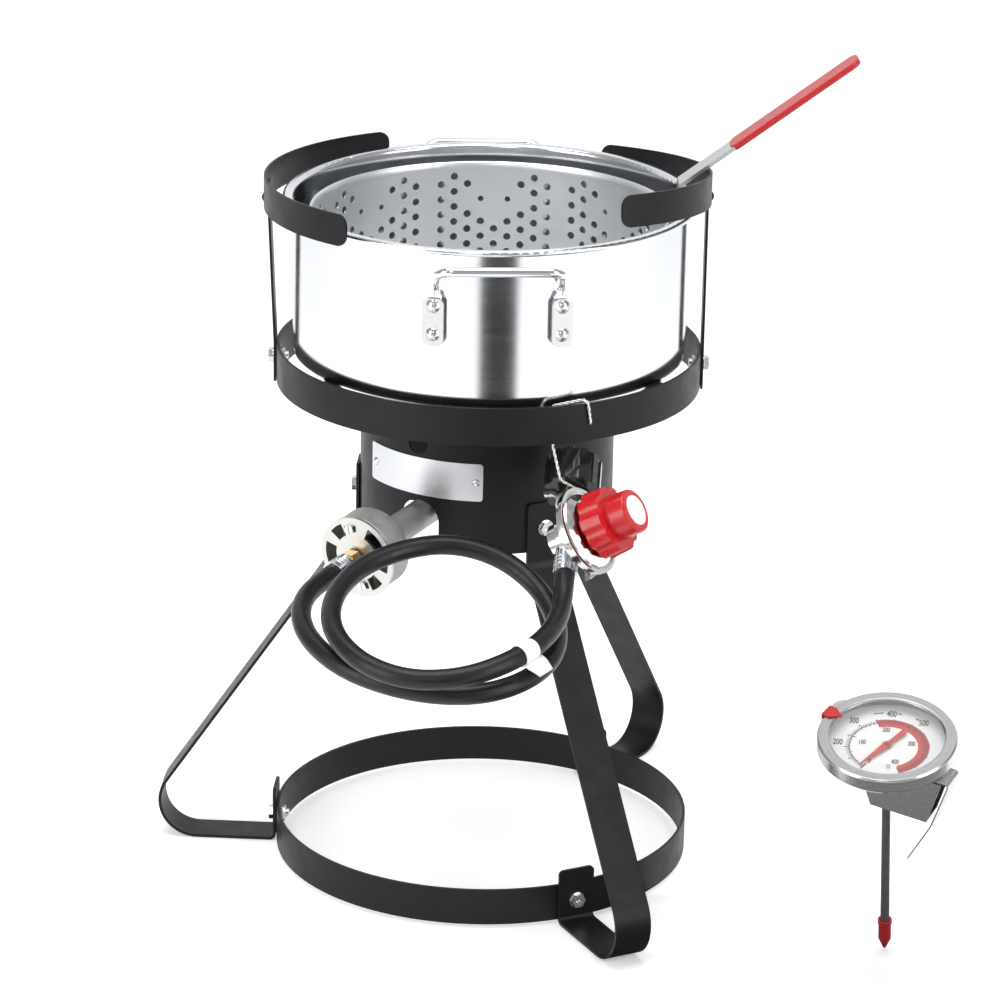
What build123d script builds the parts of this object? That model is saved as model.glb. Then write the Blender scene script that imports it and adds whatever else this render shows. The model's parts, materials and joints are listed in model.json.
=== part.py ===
from build123d import *
from math import cos, pi, radians, sin, tan
import os

# Turkey fryer kit: a propane burner stand with a pot, a perforated basket and a dial thermometer.
# Millimetres, +Z up. The origin is on the burner's axis, on the ground under the three feet.
# Azimuths are degrees from +X, turning towards +Y. The regulator and the hose are at the front, -Y.

# ---------------------------------------------------------------- driving dimensions
RING_OUT = 170.5
RING_THICK = 2.5
BOTTOM_RING_Z = (3.0, 33.0)
TOP_RING_Z = (407.0, 437.3)

SHIELD_OUT = 102.5
SHIELD_THICK = 1.5
SHIELD_Z = (293.5, 409.5)
VENT_RADIUS = 9.0
VENT_Z = 380.5
VENT_AZIMUTHS = (-122.0, -2.0, 118.0)
NOTCH_AZIMUTH = -121.0
NOTCH_HALF_WIDTH = 17.5
NOTCH_SPRING_Z = 316.0

LEG_AZIMUTHS = {"left": 177.0, "front": -63.0, "back": 57.0}
LEG_WIDTH = 31.0
LEG_THICK = 2.5
LEG_TOP_Z = 335.0
LEG_KNEE = (SHIELD_OUT, 282.4)
LEG_TOE = (293.0, 2.5)
LEG_TAB_TOP_Z = 46.0
LEG_BEND_RADII = (13.2, 29.7, 3.0)
LEG_CORNER = 4.0

BAR_AZIMUTHS = {"left": -147.0, "right": -27.0, "back": 93.0}
BAR_THICK = 3.0
BAR_Z = (407.5, 428.5)
BAR_TONGUE_Z = 411.5
BAR_TONGUE_R = 70.0
BAR_END_R = RING_OUT - RING_THICK - 0.02

UPRIGHT_WIDTH = 23.0
UPRIGHT_THICK = 2.0
UPRIGHT_FOOT_Z = 404.0
GUARD_INNER_R = 175.0
GUARD_THICK = 2.0
GUARD_HEIGHT = 25.0
GUARD_CORNER = 9.0
GUARD_CENTRE_X = {"left": -3.6, "right": -2.0}
GUARD_LOW_Z = {"left": 550.3, "right": 557.3}
GUARD_RISE = {"left": 0.034, "right": 0.124}
GUARD_ARCS = {"left": (118.0, 233.0), "right": (-54.6, 58.4)}
UPRIGHT_AZIMUTHS = {"left": 180.0, "right": 0.0}
UPRIGHT_TOP_R = {"left": 176.0, "right": 170.5}
UPRIGHT_TOP_Z = {"left": 568.0, "right": 577.0}
RIVET_Z = {"left": 555.0, "right": 562.5}

BOLT_RADIUS = 3.0
BOLT_HOLE_RADIUS = 3.3
BOLT_HEX = 6.0
WASHER_RADIUS = 6.5
NUT_GAP = 0.15
FOOT_BOLT_Z = 19.0
SHIELD_BOLT_Z = 314.0
UPRIGHT_BOLT_Z = 424.0

PLATE_ARC = (-152.0, -91.3)
PLATE_Z = (338.0, 369.0)
PLATE_THICK = 0.8
PLATE_SCREW_AZIMUTHS = (-148.6, -94.3)

VENTURI_AZIMUTH = -122.0
VENTURI_DROOP = 6.0
VENTURI_Z = 319.0
TUBE_OUT = 11.75
TUBE_BORE = 9.5
TUBE_INNER_END = -64.0
DRUM_BACK = 58.0
DRUM_FRONT = 83.0
DRUM_OUT = 32.0
DRUM_WALL = 2.5
SHUTTER_OUT = 33.25
SHUTTER_THICK = 2.5
SHUTTER_GAP = 0.1
SHUTTER_SCREW_R = 24.0
SHUTTER_CLOCK = -51.6
BIG_WINDOWS = ((35.0, 71.0), (81.0, 117.0), (215.0, 251.0), (261.0, 297.0))
SMALL_WINDOWS = ((169.0, 194.0), (349.0, 374.0))
SCREW_SLOTS = ((140.0, 165.0), (320.0, 345.0))
WINDOW_R = (19.0, 29.0)
SLOT_HALF = 2.6

FERRULE_RADIUS = 9.25
FERRULE_LENGTH = 17.0
HOSE_RADIUS = 7.75

REGULATOR_CENTRE = (77.3, -198.0, 348.8)
REGULATOR_AXIS = (0.7828, -0.3544, 0.5115)
REGULATOR_INLET = (0.05, 0.865, 0.5)
PORT_DEPTH = 17.0

POT_OUT = 157.5
POT_BOTTOM_Z = 428.6
POT_RIM_Z = 559.5
POT_WALL = 1.2
POT_RIM_OUT = 165.6
HANDLE_AZIMUTHS = {"front": -87.4, "back": 92.6}
HANDLE_WIRE = 3.75
HANDLE_BAR_R = 191.0
HANDLE_BAR_Z = 552.5
HANDLE_HALF = 46.5
BRACKET_ANGLE = 17.7
BRACKET_RIVET_Z = (515.0, 492.5)

BASKET_OUT = 141.5
BASKET_RIM_OUT = 144.8
BASKET_RIM_Z = 549.3
BASKET_BOTTOM_Z = 430.3
BASKET_WALL = 1.2
BASKET_HANDLE_AZIMUTH = 2.0
BASKET_HANDLE_WIDTH = 22.0
BASKET_HANDLE_THICK = 3.0
BASKET_HANDLE_BEND = (148.0, 572.7)
BASKET_HANDLE_RISE = 36.5
BASKET_RIVET_Z = (500.0, 525.0)

GAUGE_TIP = (323.5, -194.0, 0.4)
GAUGE_AXIS = (-0.0588, -0.2905, 0.9551)
GAUGE_GLASS_R = 44.0
STEM_RADIUS = 3.5


# ---------------------------------------------------------------- places
def direction(azimuth):
    """Horizontal unit vector at an azimuth."""
    return Vector(cos(radians(azimuth)), sin(radians(azimuth)), 0)


def section_plane(azimuth):
    """Vertical plane through the burner's axis: x is outward, y is up."""
    outward = direction(azimuth)
    return Plane(origin=(0, 0, 0), x_dir=outward, z_dir=outward.cross(Vector(0, 0, 1)))


def wall_plane(azimuth, radius, height):
    """Plane facing outward at a point on a cylinder about the burner's axis: y is up."""
    outward = direction(azimuth)
    origin = outward * radius + Vector(0, 0, height)
    return Plane(origin=origin, x_dir=direction(azimuth + 90), z_dir=outward)


def hole_along(plane, radius, depth):
    """Cut a hole both ways along a plane's normal."""
    with Locations(plane):
        Cylinder(radius, depth, mode=Mode.SUBTRACT)


def corner_edges(strip, thickness):
    """Straight edges across the thickness of a strip, at its corners."""
    lines = strip.edges().filter_by(GeomType.LINE)
    return lines.filter_by(lambda edge: abs(edge.length - thickness) < 0.01)


# ---------------------------------------------------------------- fasteners
def hex_bolt(plane, grip):
    """Hex bolt with a washer face, its head on the plane, and a nut under the grip."""
    with BuildPart() as bolt:
        with Locations(plane):
            Cylinder(WASHER_RADIUS, 1.0, align=(Align.CENTER, Align.CENTER, Align.MIN))
            Cylinder(BOLT_RADIUS, grip + 7.0, align=(Align.CENTER, Align.CENTER, Align.MAX))
        with BuildSketch(plane.offset(1.0)):
            RegularPolygon(BOLT_HEX, 6)
        extrude(amount=3.6)
        with BuildSketch(plane.offset(4.6)):
            Rectangle(5.6, 1.1)
            Rectangle(1.1, 5.6)
        extrude(amount=-1.6, mode=Mode.SUBTRACT)
        with BuildSketch(plane.offset(-grip - NUT_GAP)):
            RegularPolygon(BOLT_HEX, 6)
            Circle(BOLT_RADIUS + 0.02, mode=Mode.SUBTRACT)
        extrude(amount=-4.0)
    return bolt.part


def domed_rivet(plane, radius, grip, rise):
    """Domed rivet with its head on the plane and a flush shank through the grip."""
    ball = (radius * radius + rise * rise) / (2 * rise)
    with BuildPart() as rivet:
        with Locations(plane.offset(rise - ball)):
            Sphere(ball)
        with BuildSketch(plane):
            Circle(3 * ball)
        extrude(amount=-3 * ball, mode=Mode.SUBTRACT)
        with BuildSketch(plane):
            Circle(0.45 * radius)
        extrude(amount=-grip)
    return rivet.part


os.makedirs("parts", exist_ok=True)


# ---------------------------------------------------------------- rings
with BuildPart() as bottom_ring:
    with BuildSketch(Plane.XY.offset(BOTTOM_RING_Z[0])):
        Circle(RING_OUT)
        Circle(RING_OUT - RING_THICK, mode=Mode.SUBTRACT)
    extrude(amount=BOTTOM_RING_Z[1] - BOTTOM_RING_Z[0])
    for azimuth in LEG_AZIMUTHS.values():
        hole_along(wall_plane(azimuth, RING_OUT, FOOT_BOLT_Z), BOLT_HOLE_RADIUS, 12)
bottom_ring.part.label = "bottom_ring"
export_step(bottom_ring.part, "parts/bottom_ring.step")

with BuildPart() as top_ring:
    with BuildSketch(Plane.XY.offset(TOP_RING_Z[0])):
        Circle(RING_OUT)
        Circle(RING_OUT - RING_THICK, mode=Mode.SUBTRACT)
    extrude(amount=TOP_RING_Z[1] - TOP_RING_Z[0])
    for azimuth in UPRIGHT_AZIMUTHS.values():
        hole_along(wall_plane(azimuth, RING_OUT, UPRIGHT_BOLT_Z), BOLT_HOLE_RADIUS, 12)
top_ring.part.label = "top_ring"
export_step(top_ring.part, "parts/top_ring.step")


# ---------------------------------------------------------------- legs: one bent strip each
for side, azimuth in LEG_AZIMUTHS.items():
    with BuildPart() as leg:
        with BuildSketch(section_plane(azimuth)):
            with BuildLine():
                FilletPolyline(
                    (SHIELD_OUT, LEG_TOP_Z),
                    LEG_KNEE,
                    LEG_TOE,
                    (RING_OUT + LEG_THICK, LEG_TOE[1]),
                    (RING_OUT + LEG_THICK, LEG_TAB_TOP_Z),
                    radius=LEG_BEND_RADII,
                )
                offset(amount=LEG_THICK, side=Side.LEFT)
            make_face()
        extrude(amount=LEG_WIDTH / 2, both=True)
        fillet(corner_edges(leg, LEG_THICK), LEG_CORNER)
        hole_along(wall_plane(azimuth, SHIELD_OUT, SHIELD_BOLT_Z), BOLT_HOLE_RADIUS, 8)
        hole_along(wall_plane(azimuth, RING_OUT, FOOT_BOLT_Z), BOLT_HOLE_RADIUS, 8)
    leg.part.label = f"leg_{side}"
    export_step(leg.part, f"parts/leg_{side}.step")


# ---------------------------------------------------------------- pot support bars
for side, azimuth in BAR_AZIMUTHS.items():
    with BuildPart() as support_bar:
        with BuildSketch(section_plane(azimuth)):
            with BuildLine():
                Polyline(
                    (BAR_END_R, BAR_Z[0]),
                    (BAR_END_R, BAR_Z[1]),
                    (BAR_TONGUE_R, BAR_Z[1]),
                    (BAR_TONGUE_R, BAR_TONGUE_Z),
                    (SHIELD_OUT, BAR_TONGUE_Z),
                    (SHIELD_OUT, BAR_Z[0]),
                    close=True,
                )
            make_face()
        extrude(amount=BAR_THICK / 2, both=True)
    support_bar.part.label = f"support_bar_{side}"
    export_step(support_bar.part, f"parts/support_bar_{side}.step")


# ---------------------------------------------------------------- burner shield
with BuildPart() as burner_shield:
    with BuildSketch(Plane.XY.offset(SHIELD_Z[0])):
        Circle(SHIELD_OUT)
        Circle(SHIELD_OUT - SHIELD_THICK, mode=Mode.SUBTRACT)
    extrude(amount=SHIELD_Z[1] - SHIELD_Z[0])
    for azimuth in VENT_AZIMUTHS:
        hole_along(wall_plane(azimuth, SHIELD_OUT, VENT_Z), VENT_RADIUS, 12)
    with BuildSketch(wall_plane(NOTCH_AZIMUTH, SHIELD_OUT - 10, NOTCH_SPRING_Z)):
        Circle(NOTCH_HALF_WIDTH)
        with Locations((0, -20)):
            Rectangle(2 * NOTCH_HALF_WIDTH, 40)
    extrude(amount=20, mode=Mode.SUBTRACT)
    for azimuth in LEG_AZIMUTHS.values():
        hole_along(wall_plane(azimuth, SHIELD_OUT, SHIELD_BOLT_Z), BOLT_HOLE_RADIUS, 8)
    for azimuth in PLATE_SCREW_AZIMUTHS:
        hole_along(wall_plane(azimuth, SHIELD_OUT, sum(PLATE_Z) / 2), 1.6, 8)
burner_shield.part.label = "burner_shield"
export_step(burner_shield.part, "parts/burner_shield.step")


# ---------------------------------------------------------------- blank name plate and its screws
with BuildPart() as name_plate:
    with BuildSketch(Plane.XY.offset(PLATE_Z[0])):
        with BuildLine():
            inner = CenterArc((0, 0), SHIELD_OUT, PLATE_ARC[0], PLATE_ARC[1] - PLATE_ARC[0])
            outer = CenterArc(
                (0, 0), SHIELD_OUT + PLATE_THICK, PLATE_ARC[0], PLATE_ARC[1] - PLATE_ARC[0]
            )
            Line(inner @ 0, outer @ 0)
            Line(inner @ 1, outer @ 1)
        make_face()
    extrude(amount=PLATE_Z[1] - PLATE_Z[0])
    fillet(corner_edges(name_plate, PLATE_THICK), 2.5)
    for azimuth in PLATE_SCREW_AZIMUTHS:
        hole_along(wall_plane(azimuth, SHIELD_OUT, sum(PLATE_Z) / 2), 1.6, 8)
name_plate.part.label = "name_plate"
export_step(name_plate.part, "parts/name_plate.step")

with BuildPart() as plate_screws:
    for azimuth in PLATE_SCREW_AZIMUTHS:
        face = wall_plane(azimuth, SHIELD_OUT + PLATE_THICK + 0.05, sum(PLATE_Z) / 2)
        add(domed_rivet(face, 3.2, 5.0, 1.6))
plate_screws.part.label = "plate_screws"
export_step(plate_screws.part, "parts/plate_screws.step")


# ---------------------------------------------------------------- guards and their uprights
def guard_plane(side):
    """Plane of a guard's lower edge, which climbs towards the front."""
    return Plane(
        origin=(GUARD_CENTRE_X[side], 0, GUARD_LOW_Z[side]),
        x_dir=(1, 0, 0),
        z_dir=(0, GUARD_RISE[side], 1),
    )


for side, arc in GUARD_ARCS.items():
    with BuildPart() as guard:
        with BuildSketch(guard_plane(side)):
            with BuildLine():
                inner = CenterArc((0, 0), GUARD_INNER_R, arc[0], arc[1] - arc[0])
                outer = CenterArc((0, 0), GUARD_INNER_R + GUARD_THICK, arc[0], arc[1] - arc[0])
                Line(inner @ 0, outer @ 0)
                Line(inner @ 1, outer @ 1)
            make_face()
        extrude(amount=GUARD_HEIGHT)
        fillet(corner_edges(guard, GUARD_THICK), GUARD_CORNER)
        hole_along(wall_plane(UPRIGHT_AZIMUTHS[side], GUARD_INNER_R, RIVET_Z[side]), 2.0, 30)
    guard.part.label = f"guard_{side}"
    export_step(guard.part, f"parts/guard_{side}.step")

    with BuildPart() as upright:
        with BuildSketch(section_plane(UPRIGHT_AZIMUTHS[side])):
            with BuildLine():
                Polyline(
                    (RING_OUT, UPRIGHT_FOOT_Z),
                    (RING_OUT, TOP_RING_Z[1]),
                    (UPRIGHT_TOP_R[side], UPRIGHT_TOP_Z[side]),
                    (UPRIGHT_TOP_R[side] + UPRIGHT_THICK, UPRIGHT_TOP_Z[side]),
                    (RING_OUT + UPRIGHT_THICK, TOP_RING_Z[1]),
                    (RING_OUT + UPRIGHT_THICK, UPRIGHT_FOOT_Z),
                    close=True,
                )
            make_face()
        extrude(amount=UPRIGHT_WIDTH / 2, both=True)
        fillet(corner_edges(upright, UPRIGHT_THICK), LEG_CORNER)
        hole_along(
            wall_plane(UPRIGHT_AZIMUTHS[side], RING_OUT, UPRIGHT_BOLT_Z), BOLT_HOLE_RADIUS, 8
        )
        hole_along(wall_plane(UPRIGHT_AZIMUTHS[side], GUARD_INNER_R, RIVET_Z[side]), 2.0, 30)
    upright.part.label = f"guard_upright_{side}"
    export_step(upright.part, f"parts/guard_upright_{side}.step")

with BuildPart() as guard_rivets:
    for side, azimuth in UPRIGHT_AZIMUTHS.items():
        outside = GUARD_INNER_R + GUARD_THICK + abs(GUARD_CENTRE_X[side])
        if side == "right":
            outside = GUARD_INNER_R + GUARD_THICK + GUARD_CENTRE_X[side]
        head = wall_plane(azimuth, outside + 0.1, RIVET_Z[side])
        add(domed_rivet(head, 3.6, 6.0, 1.8))
guard_rivets.part.label = "guard_rivets"
export_step(guard_rivets.part, "parts/guard_rivets.step")


# ---------------------------------------------------------------- bolts, in groups of one size
with BuildPart() as foot_bolts:
    for azimuth in LEG_AZIMUTHS.values():
        head = wall_plane(azimuth, RING_OUT + LEG_THICK, FOOT_BOLT_Z)
        add(hex_bolt(head, RING_THICK + LEG_THICK))
foot_bolts.part.label = "foot_bolts"
export_step(foot_bolts.part, "parts/foot_bolts.step")

BRACKET_TAB_R = 98.0
with BuildPart() as shield_bolts:
    for azimuth in LEG_AZIMUTHS.values():
        head = wall_plane(azimuth, SHIELD_OUT + LEG_THICK, SHIELD_BOLT_Z)
        add(hex_bolt(head, SHIELD_OUT + LEG_THICK - BRACKET_TAB_R))
shield_bolts.part.label = "shield_bolts"
export_step(shield_bolts.part, "parts/shield_bolts.step")

with BuildPart() as upright_bolts:
    for azimuth in UPRIGHT_AZIMUTHS.values():
        head = wall_plane(azimuth, RING_OUT + UPRIGHT_THICK, UPRIGHT_BOLT_Z)
        add(hex_bolt(head, RING_THICK + UPRIGHT_THICK))
upright_bolts.part.label = "upright_bolts"
export_step(upright_bolts.part, "parts/upright_bolts.step")


# ---------------------------------------------------------------- burner: bracket, stud, head
SPIDER_Z = 304.0
SPIDER_THICK = 2.4
SPIDER_WIDTH = 20.0
HEAD_Z = (322.0, 344.0)
HEAD_RADIUS = 45.0

with BuildPart() as burner_bracket:
    for azimuth in LEG_AZIMUTHS.values():
        with BuildSketch(section_plane(azimuth)):
            with BuildLine():
                FilletPolyline(
                    (0, SPIDER_Z),
                    (BRACKET_TAB_R + SPIDER_THICK, SPIDER_Z),
                    (BRACKET_TAB_R + SPIDER_THICK, SHIELD_BOLT_Z + 9),
                    radius=4,
                )
                offset(amount=SPIDER_THICK, side=Side.LEFT)
            make_face()
        extrude(amount=SPIDER_WIDTH / 2, both=True)
        hole_along(wall_plane(azimuth, BRACKET_TAB_R, SHIELD_BOLT_Z), BOLT_HOLE_RADIUS, 8)
    hole_along(Plane.XY.offset(SPIDER_Z), BOLT_HOLE_RADIUS, 12)
burner_bracket.part.label = "burner_bracket"
export_step(burner_bracket.part, "parts/burner_bracket.step")

with BuildPart() as burner_stud:
    spider_top = SPIDER_Z + SPIDER_THICK
    with Locations((0, 0, spider_top + 0.1)):
        Cylinder(10, HEAD_Z[0] - spider_top - 0.2, align=(Align.CENTER, Align.CENTER, Align.MIN))
    with Locations((0, 0, SPIDER_Z - 8)):
        Cylinder(BOLT_RADIUS, 20, align=(Align.CENTER, Align.CENTER, Align.MIN))
    with BuildSketch(Plane.XY.offset(SPIDER_Z - 0.1)):
        RegularPolygon(BOLT_HEX, 6)
    extrude(amount=-4.5)
burner_stud.part.label = "burner_stud"
export_step(burner_stud.part, "parts/burner_stud.step")

venturi_axis = Vector(
    cos(radians(VENTURI_AZIMUTH)) * cos(radians(VENTURI_DROOP)),
    sin(radians(VENTURI_AZIMUTH)) * cos(radians(VENTURI_DROOP)),
    -sin(radians(VENTURI_DROOP)),
)
venturi_plane = Plane(
    origin=direction(VENTURI_AZIMUTH) * SHIELD_OUT + Vector(0, 0, VENTURI_Z),
    x_dir=direction(VENTURI_AZIMUTH + 90),
    z_dir=venturi_axis,
)


def venturi_at(distance):
    """Plane across the venturi, a distance outward from the shield's wall."""
    return venturi_plane.offset(distance)


with BuildPart() as burner_head:
    with BuildSketch(Plane.XZ):
        with BuildLine():
            Polyline((0, HEAD_Z[1] - 3), (0, HEAD_Z[0]), (16, HEAD_Z[0]), (HEAD_RADIUS, 330))
            Polyline(
                (HEAD_RADIUS, 330),
                (HEAD_RADIUS, HEAD_Z[1] - 4),
                (HEAD_RADIUS - 4, HEAD_Z[1]),
                (20, HEAD_Z[1]),
                (15, HEAD_Z[1] - 3),
                (0, HEAD_Z[1] - 3),
            )
        make_face()
    revolve(axis=Axis.Z)
    for ring_radius, count in ((28, 20), (36, 28)):
        with BuildSketch(Plane.XY.offset(HEAD_Z[1])):
            with PolarLocations(ring_radius, count):
                Circle(1.4)
        extrude(amount=-4, mode=Mode.SUBTRACT)
    with BuildSketch(venturi_at(TUBE_INNER_END)):
        Circle(TUBE_OUT + 0.05)
    extrude(amount=-TUBE_INNER_END, mode=Mode.SUBTRACT)
burner_head.part.label = "burner_head"
export_step(burner_head.part, "parts/burner_head.step")


# ---------------------------------------------------------------- venturi, air shutter, gas fitting
screw_angles = [(a + b) / 2 + SHUTTER_CLOCK for a, b in SCREW_SLOTS]

with BuildPart() as venturi:
    with BuildSketch(venturi_at(TUBE_INNER_END)):
        Circle(TUBE_OUT)
    extrude(amount=DRUM_BACK + 1 - TUBE_INNER_END)
    with BuildSketch(venturi_at(DRUM_BACK)):
        Circle(DRUM_OUT)
    extrude(amount=DRUM_FRONT - DRUM_BACK)
    fillet(venturi.faces().sort_by(Axis(venturi_plane.origin, venturi_axis))[-2].edges(), 3)
    with BuildSketch(venturi_at(DRUM_BACK + 3)):
        Circle(DRUM_OUT - DRUM_WALL)
    extrude(amount=DRUM_FRONT - DRUM_BACK, mode=Mode.SUBTRACT)
    with BuildSketch(venturi_at(TUBE_INNER_END - 1)):
        Circle(TUBE_BORE)
    extrude(amount=DRUM_BACK + 20 - TUBE_INNER_END, mode=Mode.SUBTRACT)
    with BuildSketch(venturi_at(DRUM_FRONT - 6)):
        Circle(9.5)
        for angle in screw_angles:
            with Locations(Location((0, 0), angle)):
                Rectangle(DRUM_OUT - DRUM_WALL / 2, 9, align=(Align.MIN, Align.CENTER))
    extrude(amount=6)
    with BuildSketch(venturi_at(DRUM_FRONT - 8)):
        Circle(6.55)
        for angle in screw_angles:
            with Locations(Rot(0, 0, angle) * Pos(SHUTTER_SCREW_R, 0, 0)):
                Circle(2.05)
    extrude(amount=12, mode=Mode.SUBTRACT)
venturi.part.label = "venturi"
export_step(venturi.part, "parts/venturi.step")


def window(first, last, inner_r, outer_r):
    """Ring-shaped window between two angles, clocked with the shutter."""
    with BuildSketch() as opening:
        with BuildLine():
            start = first + SHUTTER_CLOCK
            low = CenterArc((0, 0), inner_r, start, last - first)
            high = CenterArc((0, 0), outer_r, start, last - first)
            Line(low @ 0, high @ 0)
            Line(low @ 1, high @ 1)
        make_face()
    return opening.sketch


shutter_back = DRUM_FRONT + SHUTTER_GAP
with BuildPart() as air_shutter:
    with BuildSketch(venturi_at(shutter_back)):
        Circle(SHUTTER_OUT)
        Circle(8.2, mode=Mode.SUBTRACT)
    extrude(amount=SHUTTER_THICK)
    with BuildSketch(venturi_at(shutter_back)):
        for first, last in BIG_WINDOWS + SMALL_WINDOWS:
            add(window(first, last, *WINDOW_R))
        for first, last in SCREW_SLOTS:
            add(window(first, last, SHUTTER_SCREW_R - SLOT_HALF, SHUTTER_SCREW_R + SLOT_HALF))
    extrude(amount=SHUTTER_THICK, mode=Mode.SUBTRACT)
air_shutter.part.label = "air_shutter"
export_step(air_shutter.part, "parts/air_shutter.step")

with BuildPart() as shutter_screws:
    head_back = shutter_back + SHUTTER_THICK + 0.15
    for angle in screw_angles:
        with BuildSketch(venturi_at(DRUM_FRONT - 5)):
            with Locations(Rot(0, 0, angle) * Pos(SHUTTER_SCREW_R, 0, 0)):
                Circle(2.0)
        extrude(amount=head_back + 1 - DRUM_FRONT + 5)
        with BuildSketch(venturi_at(head_back)):
            with Locations(Rot(0, 0, angle) * Pos(SHUTTER_SCREW_R, 0, 0)):
                Circle(3.8)
        extrude(amount=2.2)
        with BuildSketch(venturi_at(head_back + 2.2)):
            with Locations(Rot(0, 0, angle) * Pos(SHUTTER_SCREW_R, 0, 0)):
                Rectangle(9, 0.9)
        extrude(amount=-0.9, mode=Mode.SUBTRACT)
shutter_screws.part.label = "shutter_screws"
export_step(shutter_screws.part, "parts/shutter_screws.step")

FITTING_HEX_START = 89.0
FITTING_HEX_END = 98.0
FERRULE_START = 101.6
with BuildPart() as orifice_fitting:
    with BuildSketch(venturi_at(DRUM_FRONT - 12)):
        Circle(6.5)
    extrude(amount=FERRULE_START - DRUM_FRONT + 12)
    with BuildSketch(venturi_at(FITTING_HEX_START)):
        RegularPolygon(8.6, 6)
    extrude(amount=FITTING_HEX_END - FITTING_HEX_START)
    with BuildSketch(venturi_at(FERRULE_START)):
        Circle(3.9)
    extrude(amount=FERRULE_LENGTH - 1)
    with BuildSketch(venturi_at(DRUM_FRONT - 20)):
        Circle(3.2)
        Circle(0.6, mode=Mode.SUBTRACT)
    extrude(amount=8)
orifice_fitting.part.label = "orifice_fitting"
export_step(orifice_fitting.part, "parts/orifice_fitting.step")


def ferrule(start_plane):
    """Crimped sleeve that starts on a plane and runs along its normal."""
    with BuildPart() as sleeve:
        with BuildSketch(start_plane):
            Circle(FERRULE_RADIUS)
        extrude(amount=FERRULE_LENGTH)
        with BuildSketch(start_plane):
            Circle(4.0)
        extrude(amount=FERRULE_LENGTH - 0.9, mode=Mode.SUBTRACT)
        for groove in (4.0, 7.5, 11.0):
            with BuildSketch(start_plane.offset(groove)):
                Circle(FERRULE_RADIUS + 1)
                Circle(FERRULE_RADIUS - 0.5, mode=Mode.SUBTRACT)
            extrude(amount=1.2, mode=Mode.SUBTRACT)
    return sleeve.part


with BuildPart() as burner_ferrule:
    add(ferrule(venturi_at(FERRULE_START)))
burner_ferrule.part.label = "burner_ferrule"
export_step(burner_ferrule.part, "parts/burner_ferrule.step")


# ---------------------------------------------------------------- regulator
regulator = Plane(origin=REGULATOR_CENTRE, x_dir=REGULATOR_INLET, z_dir=REGULATOR_AXIS)
inlet_dir = regulator.x_dir
port = regulator.origin - regulator.z_dir * PORT_DEPTH


def inlet_at(distance):
    """Plane across the inlet's axis, a distance out from the port's middle."""
    return Plane(origin=port + inlet_dir * distance, x_dir=regulator.z_dir, z_dir=inlet_dir)


def outlet_at(distance):
    """Plane across the outlet's axis, a distance out from the port's middle."""
    return Plane(origin=port - inlet_dir * distance, x_dir=regulator.z_dir, z_dir=-inlet_dir)


def level(distance):
    """Plane across the regulator's knob axis."""
    return regulator.offset(distance)


OUTLET_END = 18.0
with BuildPart() as regulator_body:
    with BuildSketch(level(-26)):
        Circle(15)
    extrude(amount=10)
    with BuildSketch(level(-17)):
        Circle(17.8)
    extrude(amount=10)
    with BuildSketch(level(-7.6)):
        Circle(27)
    extrude(amount=7)
    with BuildSketch(level(-3)):
        Circle(33.5)
    extrude(amount=3)
    with BuildSketch(outlet_at(OUTLET_END)):
        Circle(9.0)
    extrude(amount=-OUTLET_END)
    with BuildSketch(inlet_at(0)):
        Circle(9.5)
    extrude(amount=30)
    with BuildSketch(inlet_at(30)):
        RegularPolygon(12.5, 6)
    extrude(amount=10)
    with BuildSketch(outlet_at(OUTLET_END)):
        Circle(4.0)
    extrude(amount=-10, mode=Mode.SUBTRACT)
    # vent boss and stiffening lug beside the outlet
    with Locations(level(-10)):
        with Locations(Location((-6, -26, 0), (90, 0, 0))):
            Cylinder(5.5, 12)
    with BuildSketch(level(-8)):
        with BuildLine():
            Polyline((-20, -10), (-36, -14), (-20, -26), (-20, -10))
        make_face()
    extrude(amount=5)
    with BuildSketch(inlet_at(41)):
        Circle(6.0)
    extrude(amount=-12, mode=Mode.SUBTRACT)
regulator_body.part.label = "regulator_body"
export_step(regulator_body.part, "parts/regulator_body.step")

NECK_TOP = 14.0
with BuildPart() as regulator_cover:
    with BuildSketch(Plane(origin=regulator.origin, x_dir=inlet_dir, z_dir=-regulator.y_dir)):
        with BuildLine():
            Polyline(
                (6.05, 0.05),
                (35.0, 0.05),
                (35.0, 3.4),
                (32.2, 3.4),
                (31.0, 1.8),
                (29.5, 3.6),
                (24.0, 7.2),
                (16.0, 9.4),
                (12.0, 9.8),
                (12.0, NECK_TOP),
                (6.05, NECK_TOP),
                close=True,
            )
        make_face()
    revolve(axis=Axis(regulator.origin, regulator.z_dir))
regulator_cover.part.label = "regulator_cover"
export_step(regulator_cover.part, "parts/regulator_cover.step")

COLLAR_RADIUS = 27.0
COLLAR_Z = (12.6, 30.0)
with BuildPart() as knob_collar:
    with BuildSketch(level(COLLAR_Z[0])):
        Circle(COLLAR_RADIUS)
        with PolarLocations(COLLAR_RADIUS + 5.5, 10):
            Circle(7.4, mode=Mode.SUBTRACT)
    extrude(amount=COLLAR_Z[1] - COLLAR_Z[0], taper=3)
    with BuildSketch(level(COLLAR_Z[0])):
        Circle(23)
        Circle(14.2, mode=Mode.SUBTRACT)
    extrude(amount=9, mode=Mode.SUBTRACT)
    with BuildSketch(level(COLLAR_Z[0])):
        Circle(12.5)
    extrude(amount=2.5, mode=Mode.SUBTRACT)
    with BuildSketch(level(2.0)):
        Circle(6.0)
    extrude(amount=14)
knob_collar.part.label = "knob_collar"
export_step(knob_collar.part, "parts/knob_collar.step")

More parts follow.
